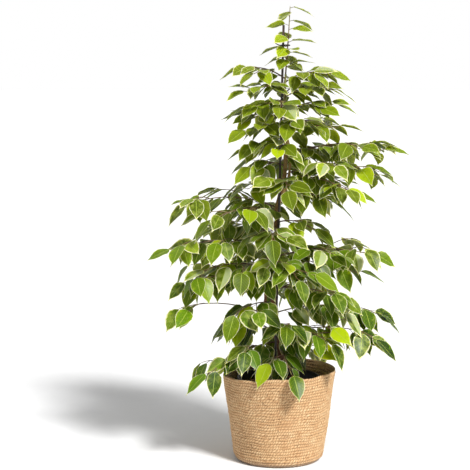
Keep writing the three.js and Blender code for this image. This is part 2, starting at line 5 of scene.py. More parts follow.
import bpy
import numpy as np
from mathutils.bvhtree import BVHTree
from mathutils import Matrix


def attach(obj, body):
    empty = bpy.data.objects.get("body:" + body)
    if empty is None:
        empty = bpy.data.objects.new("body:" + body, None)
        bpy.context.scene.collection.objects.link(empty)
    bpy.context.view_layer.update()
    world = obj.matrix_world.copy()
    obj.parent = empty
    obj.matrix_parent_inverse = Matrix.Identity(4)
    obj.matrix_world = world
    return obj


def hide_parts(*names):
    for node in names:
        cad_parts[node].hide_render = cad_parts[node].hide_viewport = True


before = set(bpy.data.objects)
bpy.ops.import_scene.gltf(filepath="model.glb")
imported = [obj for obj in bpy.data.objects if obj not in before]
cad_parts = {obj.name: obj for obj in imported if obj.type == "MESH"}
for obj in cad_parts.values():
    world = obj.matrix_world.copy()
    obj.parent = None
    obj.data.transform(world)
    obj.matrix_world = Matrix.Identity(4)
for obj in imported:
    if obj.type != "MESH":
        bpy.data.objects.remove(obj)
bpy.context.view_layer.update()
MM = 0.001

# Basket: a cover pot of seagrass twisted into two-strand rope, wound from the middle of its floor outwards
# and then upwards, and sewn row to row. Handling has pressed its rim down at the left and left the rows a
# little uneven.
BASKET_HEIGHT = 208
# Radii at the rim, at the foot, and of the round between floor and wall.
BASKET_RIM = 127
BASKET_FOOT = 102.5
BASKET_FOOT_ROUND = 19
# How far the rim is pressed down at the left, and how far to the right.
BASKET_RIM_DIP = 13
BASKET_LEAN = 3
# The rope's flattening out from the wall and along it, the distances from row to row and from ring to ring,
# the corners of a ring, and the length over which an end thins.
ROPE_RADIUS = 3.5
ROPE_FLATTENED = (0.82, 1.14)
ROPE_ROW = 6.5
ROPE_STEP = 1.6
ROPE_SIDES = 6
ROPE_END = 30
# The strands, the degrees that they turn from ring to ring, and the depth of their grooves as a share of the
# radius.
STRANDS = 2
STEP_TWIST = 46
GROOVE_DEPTH = 0.2
# The rope starts this far from the middle of the floor. Unflattened, it would stand out of the basket's
# smooth outline by the bulge.
FLOOR_MIDDLE = 4
BULGE = 0.8
# Thickness of the skin that closes the gaps between rows, and its faces round the basket.
LINING = 1.4
LINING_SIDES = 96
# Uneven winding, which grows over the wall's lowest part. Each wave has a size, a count round the basket and
# a length, over 2 pi, up the wall.
WAVES_GROW = 40
WAVES_OUT = ((0.9, 3, 37), (0.6, 7, -23))
WAVES_UP = ((1.3, 5, 61), (0.7, 13, -29))
# Uneven twisting, in steps ahead, and uneven thickness. Their waves run along the rope.
WAVES_OF_TWIST = ((4, 0, 53), (2.5, 0, 19), (1.1, 0, 7.3))
WAVES_OF_THICKNESS = ((0.07, 0, 41), (0.05, 0, 17.3))


def linear(colour):
    """Linear RGBA of an sRGB hex colour."""
    shares = [int(colour[i:i + 2], 16) / 255 for i in (1, 3, 5)]
    return [s / 12.92 if s <= 0.04045 else ((s + 0.055) / 1.055) ** 2.4 for s in shares] + [1]


def add(tree, kind, inputs=(), stops=(), **settings):
    """A node with its settings. An input takes a value or the socket that feeds it, and stops fill a colour
    ramp."""
    node = tree.nodes.new(kind)
    for setting, value in settings.items():
        setattr(node, setting, value)
    for socket, value in dict(inputs).items():
        if isinstance(value, bpy.types.NodeSocket):
            tree.links.new(value, node.inputs[socket])
        else:
            node.inputs[socket].default_value = value
    for number, (position, colour) in enumerate(stops):
        points = node.color_ramp.elements
        stop = points[number] if number < len(points) else points.new(position)
        stop.position = position
        stop.color = linear(colour)
    return node


def new_material(name, roughness):
    """A named material with its node tree and its Principled shader."""
    made = bpy.data.materials.new(name)
    made.use_nodes = True
    shader = made.node_tree.nodes["Principled BSDF"]
    shader.inputs["Roughness"].default_value = roughness
    return made, made.node_tree, shader


def loft(rings, lengths, closed=False):
    """Skin over rows of points (row, side, xyz) that turn left round the way ahead, with a flat cap at both
    ends, or none where the last row meets the first. Returns points, face arrays and the UV place of each
    face's corners: the share round the row, and the length along."""
    rows, sides = rings.shape[:2]
    steps = rows if closed else rows - 1
    row = np.arange(steps)[:, None]
    after = (row + 1) % rows
    side = np.arange(sides)[None]
    left = (side + 1) % sides
    quads = np.stack([row * sides + side, row * sides + left, after * sides + left, after * sides + side],
                     axis=-1)
    near = np.broadcast_to(lengths[:steps, None], quads.shape[:2])
    far = np.broadcast_to(np.append(lengths[1:], lengths[-1:])[:steps, None], quads.shape[:2])
    share = np.broadcast_to(side / sides, quads.shape[:2])
    u = np.stack([share, share + 1 / sides, share + 1 / sides, share], axis=-1)
    places = np.stack([u, np.stack([near, near, far, far], axis=-1)], axis=-1)
    faces = [quads.reshape(-1, 4)]
    corners = [places.reshape(-1, 4, 2)]
    if not closed:
        ends = np.arange(sides)
        faces += [ends[None, ::-1], (rows - 1) * sides + ends[None]]
        corners += [np.full((1, sides, 2), lengths[0]), np.full((1, sides, 2), lengths[-1])]
    return rings.reshape(-1, 3), faces, corners


def gather(parts):
    """Several lofts as one: points in a row, with the face numbers moved on to match."""
    counts = np.cumsum([0] + [len(points) for points, _, _ in parts])
    faces = [face + start for (_, part, _), start in zip(parts, counts) for face in part]
    corners = [corner for _, _, part in parts for corner in part]
    return np.concatenate([points for points, _, _ in parts]), faces, corners


def new_piece(name, shape, materials, kinds=None):
    """Smooth mesh object at the origin from points in millimetres, face arrays and UV places. kinds gives
    each face's material number."""
    points, faces, corners = shape
    mesh = bpy.data.meshes.new(name)
    mesh.vertices.add(len(points))
    mesh.vertices.foreach_set("co", (points * MM).astype(np.float32).ravel())
    loops = np.concatenate([face.ravel() for face in faces]).astype(np.int32)
    sizes = np.concatenate([np.full(len(face), face.shape[1]) for face in faces])
    mesh.loops.add(len(loops))
    mesh.loops.foreach_set("vertex_index", loops)
    mesh.polygons.add(len(sizes))
    mesh.polygons.foreach_set("loop_start", (np.cumsum(sizes) - sizes).astype(np.int32))
    mesh.polygons.foreach_set("use_smooth", np.ones(len(sizes), bool))
    for made in materials:
        mesh.materials.append(made)
    if kinds is not None:
        mesh.polygons.foreach_set("material_index", np.asarray(kinds, np.int32))
    places = np.concatenate([corner.reshape(-1, 2) for corner in corners])
    mesh.uv_layers.new(name="UVMap").data.foreach_set("uv", places.astype(np.float32).ravel())
    mesh.update(calc_edges=True)
    piece = bpy.data.objects.new(name, mesh)
    bpy.context.scene.collection.objects.link(piece)
    return piece


def stand_for(piece, slot, *nodes):
    """The piece rides on the body and stands for the nodes, where it has any. slot is not used."""
    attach(piece, "root")
    if nodes:
        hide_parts(*nodes)


def rows_of(points):
    """Length from the first point of a row to each of its points."""
    return np.append(0, np.cumsum(np.linalg.norm(np.diff(points, axis=0), axis=1)))


def unit(vectors):
    """Vectors divided by their lengths."""
    return vectors / np.linalg.norm(vectors, axis=-1, keepdims=True)


def press_rim(points):
    """Lowers points of the basket towards the left of its rim, and leans them to the right, both with the
    square of their height."""
    angle = np.arctan2(points[..., 1], points[..., 0])
    dip = BASKET_RIM_DIP * ((1 - np.cos(angle)) / 2) ** 3
    share = (points[..., 2] / BASKET_HEIGHT) ** 2
    pressed = points.copy()
    pressed[..., 2] -= dip * share
    pressed[..., 0] += BASKET_LEAN * share
    return pressed


def basket_outline(inwards):
    """Outline of the basket, a length inside its outer surface: a flat floor, a quarter round and a leaning
    wall."""
    bend = BASKET_FOOT_ROUND - inwards
    turn = np.radians(np.linspace(-90, 0, 7))
    floor = [[FLOOR_MIDDLE, inwards]]
    corner = np.column_stack([BASKET_FOOT - BASKET_FOOT_ROUND + bend * np.cos(turn),
                              BASKET_FOOT_ROUND + bend * np.sin(turn)])
    return np.vstack([floor, corner, [[BASKET_RIM - inwards, BASKET_HEIGHT - ROPE_RADIUS]]])


def waver(angle, lengths, waves):
    """Sum of sine waves, each with its size, its count round the angle and its length over 2 pi."""
    return sum(size * np.sin(count * angle + lengths / length) for size, count, length in waves)


def rope_centre():
    """Middle line of the rope: a point that goes round once while it moves one row along the basket's
    outline. Its steps are even along the rope, and twice as long on the floor as on the wall."""
    outs, ups = basket_outline(ROPE_RADIUS - BULGE).T
    outline = rows_of(np.column_stack([outs, ups]))
    turns = np.linspace(0, outline[-1] / ROPE_ROW, 4000)
    out = np.interp(turns * ROPE_ROW, outline, outs)
    laid = np.append(0, np.cumsum(2 * np.pi * out[1:] * np.diff(turns)))
    floor_length = np.interp(outline[1] / ROPE_ROW, turns, laid)
    lengths = np.append(np.arange(0, floor_length, 2 * ROPE_STEP),
                        np.arange(floor_length, laid[-1], ROPE_STEP))
    turns = np.interp(lengths, laid, turns)
    out = np.interp(turns * ROPE_ROW, outline, outs)
    up = np.interp(turns * ROPE_ROW, outline, ups)
    angle = 2 * np.pi * turns
    on_wall = np.clip((up - BASKET_FOOT_ROUND) / WAVES_GROW, 0, 1)
    out = out + on_wall * waver(angle, up, WAVES_OUT)
    up = up + on_wall * waver(angle, up, WAVES_UP)
    return press_rim(np.column_stack([out * np.cos(angle), out * np.sin(angle), up])), lengths


def rope_skin(centre, lengths):
    """Twisted strands: a ring with a lobe for each, turned on at every step and flattened against the
    basket's wall. The rope thins at its two ends."""
    along = unit(np.gradient(centre, axis=0))
    level = np.column_stack([centre[:, :2], np.zeros(len(centre))])
    across = unit(level - along * (level * along).sum(axis=1, keepdims=True))
    over = np.cross(along, across)
    side = 2 * np.pi * np.arange(ROPE_SIDES) / ROPE_SIDES
    turned = math.radians(STEP_TWIST) * (np.arange(len(centre)) + waver(0, lengths, WAVES_OF_TWIST))
    angle = side - turned[:, None]
    lobes = 1 - GROOVE_DEPTH * (0.5 - 0.5 * np.cos(STRANDS * side))
    uneven = 1 + waver(0, lengths, WAVES_OF_THICKNESS)
    ends = np.clip(np.minimum(lengths, lengths[-1] - lengths) / ROPE_END, 0.15, 1)
    radius = ROPE_RADIUS * lobes * (uneven * ends)[:, None]
    rings = centre[:, None] + (ROPE_FLATTENED[0] * radius * np.cos(angle))[..., None] * across[:, None]
    rings = rings + (ROPE_FLATTENED[1] * radius * np.sin(angle))[..., None] * over[:, None]
    rings[..., 2] = np.maximum(rings[..., 2], 0)
    return rings


def lathe(outline, sides, change=None):
    """An outline of (out, up) points carried round the upright axis, from the axis underneath to the axis
    above. change is a function that moves the points."""
    angle = 2 * np.pi * np.arange(sides) / sides
    out = outline[:, 0][:, None]
    up = np.broadcast_to(outline[:, 1][:, None], (len(outline), sides))
    rings = np.stack([out * np.cos(angle), out * np.sin(angle), up], axis=-1)
    return loft(rings if change is None else change(rings), rows_of(outline))


# Dried seagrass, twisted: straw-coloured fibres with a low sheen, painted shade darkening the grooves between
# the strands, and stray brown blades.
seagrass, tree, shader = new_material("seagrass_rope", 0.78)
place = add(tree, "ShaderNodeTexCoord").outputs["Object"]
strand = add(tree, "ShaderNodeUVMap").outputs["UV"]
strand_axes = add(tree, "ShaderNodeSeparateXYZ", {0: strand}).outputs
# 1 on the backs of the two strands and 0 in the grooves between them.
round_share = add(tree, "ShaderNodeMath", {0: strand_axes["X"], 1: 2 * math.pi * STRANDS},
                  operation="MULTIPLY").outputs[0]
lobe = add(tree, "ShaderNodeMath", {0: round_share}, operation="COSINE").outputs[0]
lobe = add(tree, "ShaderNodeMapRange", {"Value": lobe, "From Min": -1, "From Max": 0.4}).outputs[0]
# Fibres under a millimetre wide and about 20 mm long, laid along the strand.
stretched = add(tree, "ShaderNodeMapping", {"Vector": strand, "Scale": (22, 0.055, 1)}).outputs[0]
fibres = add(tree, "ShaderNodeTexNoise", {"Vector": stretched, "Scale": 1, "Detail": 3}).outputs["Fac"]
# Blades of another batch for a few centimetres of a row.
level = add(tree, "ShaderNodeMapping", {"Vector": place, "Scale": (1, 1, 2.6)}).outputs[0]
batches = add(tree, "ShaderNodeTexNoise",
              {"Vector": level, "Scale": 1 / (17 * MM), "Detail": 5}).outputs["Fac"]
mixed = add(tree, "ShaderNodeMath", {0: fibres, 1: batches}, operation="ADD").outputs[0]
mixed = add(tree, "ShaderNodeMapRange", {"Value": mixed, "From Min": 0.76, "From Max": 1.24}).outputs[0]
straw = add(tree, "ShaderNodeValToRGB", {0: mixed},
            [(0, "#b68b5f"), (0.35, "#cda77a"), (0.65, "#d6b487"), (1, "#dfc499")]).outputs[0]
# Painted shade: the grooves between the strands are mixed towards a darker straw.
groove_shaded = add(tree, "ShaderNodeMix", {0: lobe, 6: linear("#ab8156"), 7: straw}, data_type="RGBA").outputs[2]
# Brown blades, which show as spots some 5 mm long.
spots = add(tree, "ShaderNodeTexNoise", {"Vector": place, "Scale": 1 / (5 * MM), "Detail": 1}).outputs["Fac"]
spots = add(tree, "ShaderNodeMapRange", {"Value": spots, "From Min": 0.66, "From Max": 0.72}).outputs[0]
spotted = add(tree, "ShaderNodeMix", {0: spots, 6: groove_shaded, 7: linear("#815a35")},
              data_type="RGBA").outputs[2]
# Painted shade: inside, more than half a rope in from the wall's outer face, the rope is painted greyer and
# darker.
slope = (BASKET_RIM - BASKET_FOOT) / BASKET_HEIGHT
axes = add(tree, "ShaderNodeSeparateXYZ", {0: place}).outputs
flat_place = add(tree, "ShaderNodeCombineXYZ", {"X": axes["X"], "Y": axes["Y"]}).outputs[0]
distance = add(tree, "ShaderNodeVectorMath", {0: flat_place}, operation="LENGTH").outputs["Value"]
depth = add(tree, "ShaderNodeMath", {0: axes["Z"], 1: -slope, 2: distance},
            operation="MULTIPLY_ADD").outputs[0]
depth = add(tree, "ShaderNodeMapRange",
            {"Value": depth, "From Min": (BASKET_FOOT - ROPE_RADIUS) * MM,
             "From Max": (BASKET_FOOT - 1.6 * ROPE_RADIUS) * MM, "To Max": 0.6}).outputs[0]
inside_shade_and_bark_mottle = add(tree, "ShaderNodeMix", {0: depth, 6: spotted, 7: linear("#8f7b6b")},
                data_type="RGBA").outputs[2]
tree.links.new(inside_shade_and_bark_mottle, shader.inputs["Base Color"])
relief = add(tree, "ShaderNodeBump", {"Strength": 0.5, "Distance": 0.5 * MM, "Height": fibres}).outputs[0]
tree.links.new(relief, shader.inputs["Normal"])

centre, lengths = rope_centre()
# The sewing that holds the rows together closes the gaps between them: a thin skin along the rope's middle.
outer, inner = (basket_outline(ROPE_RADIUS + side * LINING / 2) for side in (-1, 1))
lining = lathe(np.vstack([outer, inner[::-1]]), LINING_SIDES, press_rim)
basket_rope = new_piece("basket_rope", gather([loft(rope_skin(centre, lengths), lengths), lining]),
                        [seagrass])
stand_for(basket_rope, "rope", "basket")

# Nursery pot: thin black polypropylene, injection moulded, with a turned lip. It stands on the basket's
# floor, and only its rim and inner wall show. Its rim, base and shoulder are given as radii.
POT_FOOT = 6.8
POT_HEIGHT = 180
POT_RIM = 93
POT_BASE = 72
POT_WALL = 1.5
POT_LIP = 3
POT_LIP_HEIGHT = 9
POT_SIDES = 96
POT_SHOULDER = POT_RIM - POT_LIP

# Moulded polypropylene: near black and half matt, with dust and dried splashes from the compost.
pot_plastic, tree, shader = new_material("black_polypropylene", 0.42)
place = add(tree, "ShaderNodeTexCoord").outputs["Object"]
dust = add(tree, "ShaderNodeTexNoise", {"Vector": place, "Scale": 1 / (14 * MM), "Detail": 5}).outputs["Fac"]
dusty = add(tree, "ShaderNodeValToRGB", {0: dust},
            [(0.4, "#151414"), (0.58, "#242120"), (0.75, "#4c443a")]).outputs[0]
tree.links.new(dusty, shader.inputs["Base Color"])
matt = add(tree, "ShaderNodeMapRange", {"Value": dust, "To Min": 0.32, "To Max": 0.62}).outputs[0]
tree.links.new(matt, shader.inputs["Roughness"])

lip_foot = POT_HEIGHT - POT_LIP_HEIGHT
# Outside from the floor up to the lip, and inside down again, with small rounds at the corners.
pot_outline = np.array([
    [0.5, 0], [POT_BASE - 2, 0], [POT_BASE - 0.6, 0.6], [POT_BASE, 2],
    [POT_SHOULDER - 0.9, lip_foot], [POT_RIM - 0.8, lip_foot], [POT_RIM, lip_foot + 0.8],
    [POT_RIM, POT_HEIGHT - 1.2], [POT_RIM - 0.6, POT_HEIGHT],
    [POT_SHOULDER - POT_WALL + 0.6, POT_HEIGHT], [POT_SHOULDER - POT_WALL, POT_HEIGHT - 1],
    [POT_BASE - POT_WALL, POT_WALL + 2], [POT_BASE - POT_WALL - 2, POT_WALL], [0.5, POT_WALL],
])
pot_points, pot_faces, pot_corners = lathe(pot_outline, POT_SIDES)
pot_points = pot_points + [0, 0, POT_FOOT]
nursery_pot = new_piece("nursery_pot_smooth", (pot_points, pot_faces, pot_corners), [pot_plastic])
stand_for(nursery_pot, "pot_plastic", "nursery_pot")

# Compost: dark peaty potting mix with bits of bark in it, filled into the nursery pot by hand and settled a
# little below its rim by watering.
SOIL_TOP = 172
SOIL_EDGE_DROP = 3
SOIL_RADIUS = 86
SOIL_FOOT = POT_FOOT + POT_WALL + 0.3
SOIL_SIDES = 120
# Height, spacing and seed of the lumps and crumbs.
CRUMBS = ((2.6, 31, 3), (2.2, 9, 4), (1.1, 4, 5))
UP = np.array([0.0, 0.0, 1.0])


def waves(points, size, seed, count=7):
    """Smooth bumps between -1 and 1: the mean of plane waves of about one length in seeded directions."""
    random = np.random.default_rng(seed)
    ways = unit(random.normal(size=(count, 3))) * (2 * np.pi / size) * random.uniform(0.7, 1.5, (count, 1))
    return np.sin(points @ ways.T + random.uniform(0, 2 * np.pi, count)).mean(axis=-1)


def crumble(points):
    """Raises points on top of the compost by the sum of its lumps and crumbs, and none under it."""
    on_top = points[..., 2] > SOIL_TOP - 2 * SOIL_EDGE_DROP
    crumbs = sum(height * waves(points, spacing, seed) for height, spacing, seed in CRUMBS)
    return points + (on_top * crumbs)[..., None] * UP


# Peat and composted bark: nearly black brown and dull, with paler fibres.
peat, tree, shader = new_material("peat_compost", 0.95)
place = add(tree, "ShaderNodeTexCoord").outputs["Object"]
crumbs = add(tree, "ShaderNodeTexNoise", {"Vector": place, "Scale": 1 / (5 * MM), "Detail": 6}).outputs["Fac"]
earth = add(tree, "ShaderNodeValToRGB", {0: crumbs},
            [(0.35, "#150e08"), (0.55, "#2c1f13"), (0.72, "#57402a")]).outputs[0]
tree.links.new(earth, shader.inputs["Base Color"])
relief = add(tree, "ShaderNodeBump", {"Strength": 0.8, "Distance": 1.5 * MM, "Height": crumbs}).outputs[0]
tree.links.new(relief, shader.inputs["Normal"])

rows_in = np.linspace(1, 0.01, 30)
soil_outline = np.vstack([
    [0.5, SOIL_FOOT], [POT_BASE - POT_WALL - 0.5, SOIL_FOOT],
    np.column_stack([SOIL_RADIUS * rows_in, SOIL_TOP - SOIL_EDGE_DROP * rows_in ** 4]),
])
compost = new_piece("compost", lathe(soil_outline, SOIL_SIDES, crumble), [peat])
stand_for(compost, "compost", "soil")

# Bark chips: split pine bark, put into the mix to keep it open. It comes in slabs of thin layers with uneven
# ends, fox brown inside and grey brown outside, and the chips lie on the compost as they fell.
CHIP_COUNT = 190
CHIP_SEED = 12
CHIP_LENGTH = (5, 17)
CHIP_WIDTH = (3, 8)
CHIP_THICKNESS = (1, 3.4)
CHIP_REACH = 0.93 * SOIL_RADIUS
CHIP_TILT = 0.5
CHIP_LIFT = 0.6
# Each chip has three rows of corners: where they stand along it, and how wide they are.
CHIP_ROWS = np.array([-0.5, 0.05, 0.5])
CHIP_ROW_SIZES = np.array([0.62, 1, 0.5])
CHIP_SIDES = 5
CHIP_UNEVEN = (0.65, 1.1)

# Pine bark: dull and dry, and nearly black to tan from one chip to the next.
pine_bark, tree, shader = new_material("pine_bark_chips", 0.85)
place = add(tree, "ShaderNodeTexCoord").outputs["Object"]
pieces = add(tree, "ShaderNodeTexNoise",
             {"Vector": place, "Scale": 1 / (11 * MM), "Detail": 3}).outputs["Fac"]
chip_brown = add(tree, "ShaderNodeValToRGB", {0: pieces},
                 [(0.3, "#2b1b10"), (0.48, "#6a4122"), (0.6, "#a9682f"), (0.75, "#c99a62")]).outputs[0]
tree.links.new(chip_brown, shader.inputs["Base Color"])

random = np.random.default_rng(CHIP_SEED)
ranges = (CHIP_LENGTH, CHIP_WIDTH, CHIP_THICKNESS)
chip_size = np.column_stack([random.uniform(*limits, CHIP_COUNT) for limits in ranges])[:, None, None]
chip_out = CHIP_REACH * np.sqrt(random.uniform(0.01, 1, CHIP_COUNT))
chip_round = random.uniform(0, 2 * np.pi, CHIP_COUNT)
chip_turn = random.uniform(0, 2 * np.pi, CHIP_COUNT)
chip_tilt = random.uniform(-CHIP_TILT, CHIP_TILT, CHIP_COUNT)
# The rows of uneven corners along a chip, which is then tilted, turned and laid down.
corner = 2 * np.pi * np.arange(CHIP_SIDES) / CHIP_SIDES
swell = random.uniform(*CHIP_UNEVEN, (CHIP_COUNT, len(CHIP_ROWS), CHIP_SIDES)) * CHIP_ROW_SIZES[:, None]
lengthways = np.broadcast_to(CHIP_ROWS[:, None], swell.shape)
local = np.stack([lengthways, swell * np.cos(corner) / 2, swell * np.sin(corner) / 2], axis=-1) * chip_size
cos_tilt, sin_tilt = np.cos(chip_tilt)[:, None, None], np.sin(chip_tilt)[:, None, None]
cos_turn, sin_turn = np.cos(chip_turn)[:, None, None], np.sin(chip_turn)[:, None, None]
length_level = local[..., 0] * cos_tilt - local[..., 2] * sin_tilt
chip_up = local[..., 0] * sin_tilt + local[..., 2] * cos_tilt
chip_x = length_level * cos_turn - local[..., 1] * sin_turn
chip_y = length_level * sin_turn + local[..., 1] * cos_turn
middle = np.column_stack([chip_out * np.cos(chip_round), chip_out * np.sin(chip_round),
                          SOIL_TOP - SOIL_EDGE_DROP * (chip_out / SOIL_RADIUS) ** 4])
middle = crumble(middle) + CHIP_LIFT * UP
chips = middle[:, None, None] + np.stack([chip_x, chip_y, chip_up], axis=-1)
bark_chips = new_piece("bark_chips", gather([loft(chip, np.arange(3.0)) for chip in chips]), [pine_bark])
bark_chips.data.polygons.foreach_set("use_smooth", np.zeros(len(bark_chips.data.polygons), bool))
stand_for(bark_chips, "compost")

# Trunk: the leader with a knobbly junction low down, a second stem that grows back into it on the left and a
# side stem half way up. Young fig wood under thin smooth bark, grown together where the stems meet. Each stem
# is a row of points from its foot up, with its radii there.
LEADER = [
    [7, 0, 128], [7.7, 0, 172], [5.5, 1, 219], [1, 2, 258], [-8, 3, 288], [-12, 3, 345], [-12, 4, 390],
    [-14, 3, 446], [-8, 2, 509], [-3, 3, 574], [8, 4, 618], [13, 4, 655], [14, 5, 696], [15, 5, 762],
    [11, 4, 811], [13, 3, 862],
]
LEADER_RADII = [6.5, 7, 6.8, 6.6, 6.4, 5.8, 5.5, 5.2, 5.1, 5, 4.8, 4.6, 4.4, 4, 3.4, 2.6]
SECOND_STEM = [
    [-8, 2, 290], [-21, 1, 316], [-30, 1, 350], [-28, 1, 395], [-25, 2, 440], [-21, 2, 478], [-9, 2, 512],
]
SECOND_RADII = [3.9, 3.8, 3.6, 3.5, 3.4, 3.3, 3]
SIDE_STEM = [[-3, 2, 570], [7, -3, 598], [19, -5, 625], [23, -5, 660], [24, -2, 692], [15, 5, 728]]
SIDE_RADII = [4, 3.8, 3.5, 3.2, 3, 2.8]
STEMS = ((LEADER, LEADER_RADII), (SECOND_STEM, SECOND_RADII), (SIDE_STEM, SIDE_RADII))
KNOB_CENTRE = [-8, 3, 289]
KNOB_RADIUS = 9.46
KNOB_HALF_HEIGHT = 12
STEM_SIDES = 20
TRUNK_VOXEL = 1.1
SCAR_SPACING = 33
SCAR_HEIGHT = 0.55
# Height, spacing and seed of the bark's swellings, and of those near the knob, which reach this far from it.
BARK_SWELLINGS = ((0.7, 24, 21), (0.45, 7, 22))
KNOB_SWELLING = (2.2, 9, 23)
KNOB_REACH = 20
ALONG_X = np.array([1.0, 0.0, 0.0])


def smooth_row(values, steps=8):
    """Catmull-Rom curve through a row of values, with some steps from each one to the next: a cubic in the
    share of the way, whose slope at each value is half the step from the value before to the one after."""
    values = np.asarray(values, float).reshape(len(values), -1)
    padded = np.vstack([2 * values[0] - values[1], values, 2 * values[-1] - values[-2]])
    share = np.linspace(0, 1, steps, endpoint=False)[None, :, None]
    before, start, end, after = (padded[i:len(padded) - 3 + i, None] for i in range(4))
    bend = (2 * before - 5 * start + 4 * end - after) * share ** 2
    twist = (3 * start - before - 3 * end + after) * share ** 3
    curve = 0.5 * (2 * start + (end - before) * share + bend + twist)
    return np.vstack([curve.reshape(-1, values.shape[1]), values[-1:]])


def tube(points, radii, sides, reference):
    """A round section carried along a row of points, with the row's radii. Its first corner lies at a right
    angle to the way ahead and to the reference direction."""
    along = unit(np.gradient(points, axis=0))
    across = unit(np.cross(reference, along))
    over = np.cross(along, across)
    angle = 2 * np.pi * np.arange(sides) / sides
    aside = np.cos(angle)[None, :, None] * across[:, None] + np.sin(angle)[None, :, None] * over[:, None]
    return loft(points[:, None] + np.reshape(radii, (-1, 1, 1)) * aside, rows_of(points))


def corners_of(mesh):
    """The corners of a mesh in millimetres."""
    flat = np.empty(len(mesh.vertices) * 3, np.float32)
    mesh.vertices.foreach_get("co", flat)
    return flat.reshape(-1, 3).astype(float) / MM


# Fig bark: thin, half matt, red brown and corky at the foot, orange brown higher up and olive where the wood
# is young, with pale breathing pores in short level dashes.
fig_bark, tree, shader = new_material("fig_bark", 0.62)
place = add(tree, "ShaderNodeTexCoord").outputs["Object"]
height = add(tree, "ShaderNodeSeparateXYZ", {0: place}).outputs["Z"]
age = add(tree, "ShaderNodeMapRange", {"Value": height, "From Min": 0.17, "From Max": 0.87}).outputs[0]
bark_age = add(tree, "ShaderNodeValToRGB", {0: age},
               [(0, "#74482d"), (0.2, "#86532f"), (0.45, "#a5713f"), (0.75, "#a88b4b"),
                (1, "#8b9150")]).outputs[0]
mottle = add(tree, "ShaderNodeTexNoise",
             {"Vector": place, "Scale": 1 / (12 * MM), "Detail": 5}).outputs["Fac"]
mottle = add(tree, "ShaderNodeMapRange", {"Value": mottle, "From Min": 0.42, "From Max": 0.62}).outputs[0]
inside_shade_and_bark_mottle = add(tree, "ShaderNodeMix", {0: mottle, 6: bark_age, 7: linear("#5a3d2a")},
                data_type="RGBA").outputs[2]
half_weathered = add(tree, "ShaderNodeMix", {0: 0.4, 6: bark_age, 7: inside_shade_and_bark_mottle}, data_type="RGBA").outputs[2]
# Pores 2 to 4 mm wide and a third as high.
dashes = add(tree, "ShaderNodeMapping", {"Vector": place, "Scale": (1, 1, 3)}).outputs[0]
pores = add(tree, "ShaderNodeTexNoise", {"Vector": dashes, "Scale": 1 / (4 * MM), "Detail": 1}).outputs["Fac"]
pores = add(tree, "ShaderNodeMapRange", {"Value": pores, "From Min": 0.62, "From Max": 0.68}).outputs[0]
pored = add(tree, "ShaderNodeMix", {0: pores, 6: half_weathered, 7: linear("#c3a276")},
            data_type="RGBA").outputs[2]
tree.links.new(pored, shader.inputs["Base Color"])
grain = add(tree, "ShaderNodeMath", {0: mottle, 1: pores}, operation="ADD").outputs[0]
relief = add(tree, "ShaderNodeBump", {"Strength": 0.5, "Distance": 0.6 * MM, "Height": grain}).outputs[0]
tree.links.new(relief, shader.inputs["Normal"])

# The stems are closed tubes that run into one another, and the knob is an upright ellipsoid among them. A
# fine grid of voxels makes one skin of them all.
stems = [tube(smooth_row(stem), smooth_row(radii)[:, 0], STEM_SIDES, ALONG_X) for stem, radii in STEMS]
rise = np.linspace(-0.995, 0.995, 15)
knob_rows = np.array(KNOB_CENTRE) + KNOB_HALF_HEIGHT * rise[:, None] * UP
stems.append(tube(knob_rows, KNOB_RADIUS * np.sqrt(1 - rise ** 2), STEM_SIDES, ALONG_X))
grown = new_piece("trunk_grown", gather(stems), [])
fuse = grown.modifiers.new("grown_together", "REMESH")
fuse.mode = "VOXEL"
fuse.voxel_size = TRUNK_VOXEL * MM
fuse.use_smooth_shade = True
ease = grown.modifiers.new("eased", "SMOOTH")
ease.iterations = 4
joined = bpy.data.meshes.new_from_object(grown.evaluated_get(bpy.context.evaluated_depsgraph_get()))
bpy.data.objects.remove(grown)
spots = corners_of(joined)
normals = np.empty(len(joined.vertices) * 3, np.float32)
joined.vertices.foreach_get("normal", normals)
# Leaf scars ring the stems at uneven distances, and the bark swells and sinks between them.
scars = np.exp(-((spots[:, 2] / SCAR_SPACING + 0.35 * np.sin(spots[:, 2] / 71)) % 1 - 0.5) ** 2 / 0.004)
swell = SCAR_HEIGHT * scars
swell = swell + sum(height * waves(spots, spacing, seed) for height, spacing, seed in BARK_SWELLINGS)
near_knob = np.exp(-((spots - KNOB_CENTRE) ** 2).sum(axis=1) / KNOB_REACH ** 2)
swell = swell + near_knob * (0.6 + KNOB_SWELLING[0] * waves(spots, *KNOB_SWELLING[1:]))
spots = spots + normals.reshape(-1, 3) * swell[:, None]
joined.vertices.foreach_set("co", (spots * MM).astype(np.float32).ravel())
joined.materials.append(fig_bark)
joined.update()
trunk_bark = bpy.data.objects.new("trunk_bark", joined)
bpy.context.scene.collection.objects.link(trunk_bark)
stand_for(trunk_bark, "bark", "trunk")

# Cane: a thin whole bamboo cane, stained nearly black and cut square. It is pushed down through the compost
# beside the trunk and leans with it.
CANE_FOOT = np.array([-11.4, -13.1, 60])
CANE_TOP = np.array([8.0, -3, 969])
CANE_RADIUS = 2.9
CANE_SIDES = 14
CANE_BETWEEN_KNUCKLES = 0.9
KNUCKLE_SWELLING = 0.16
KNUCKLE_SPACING = 88
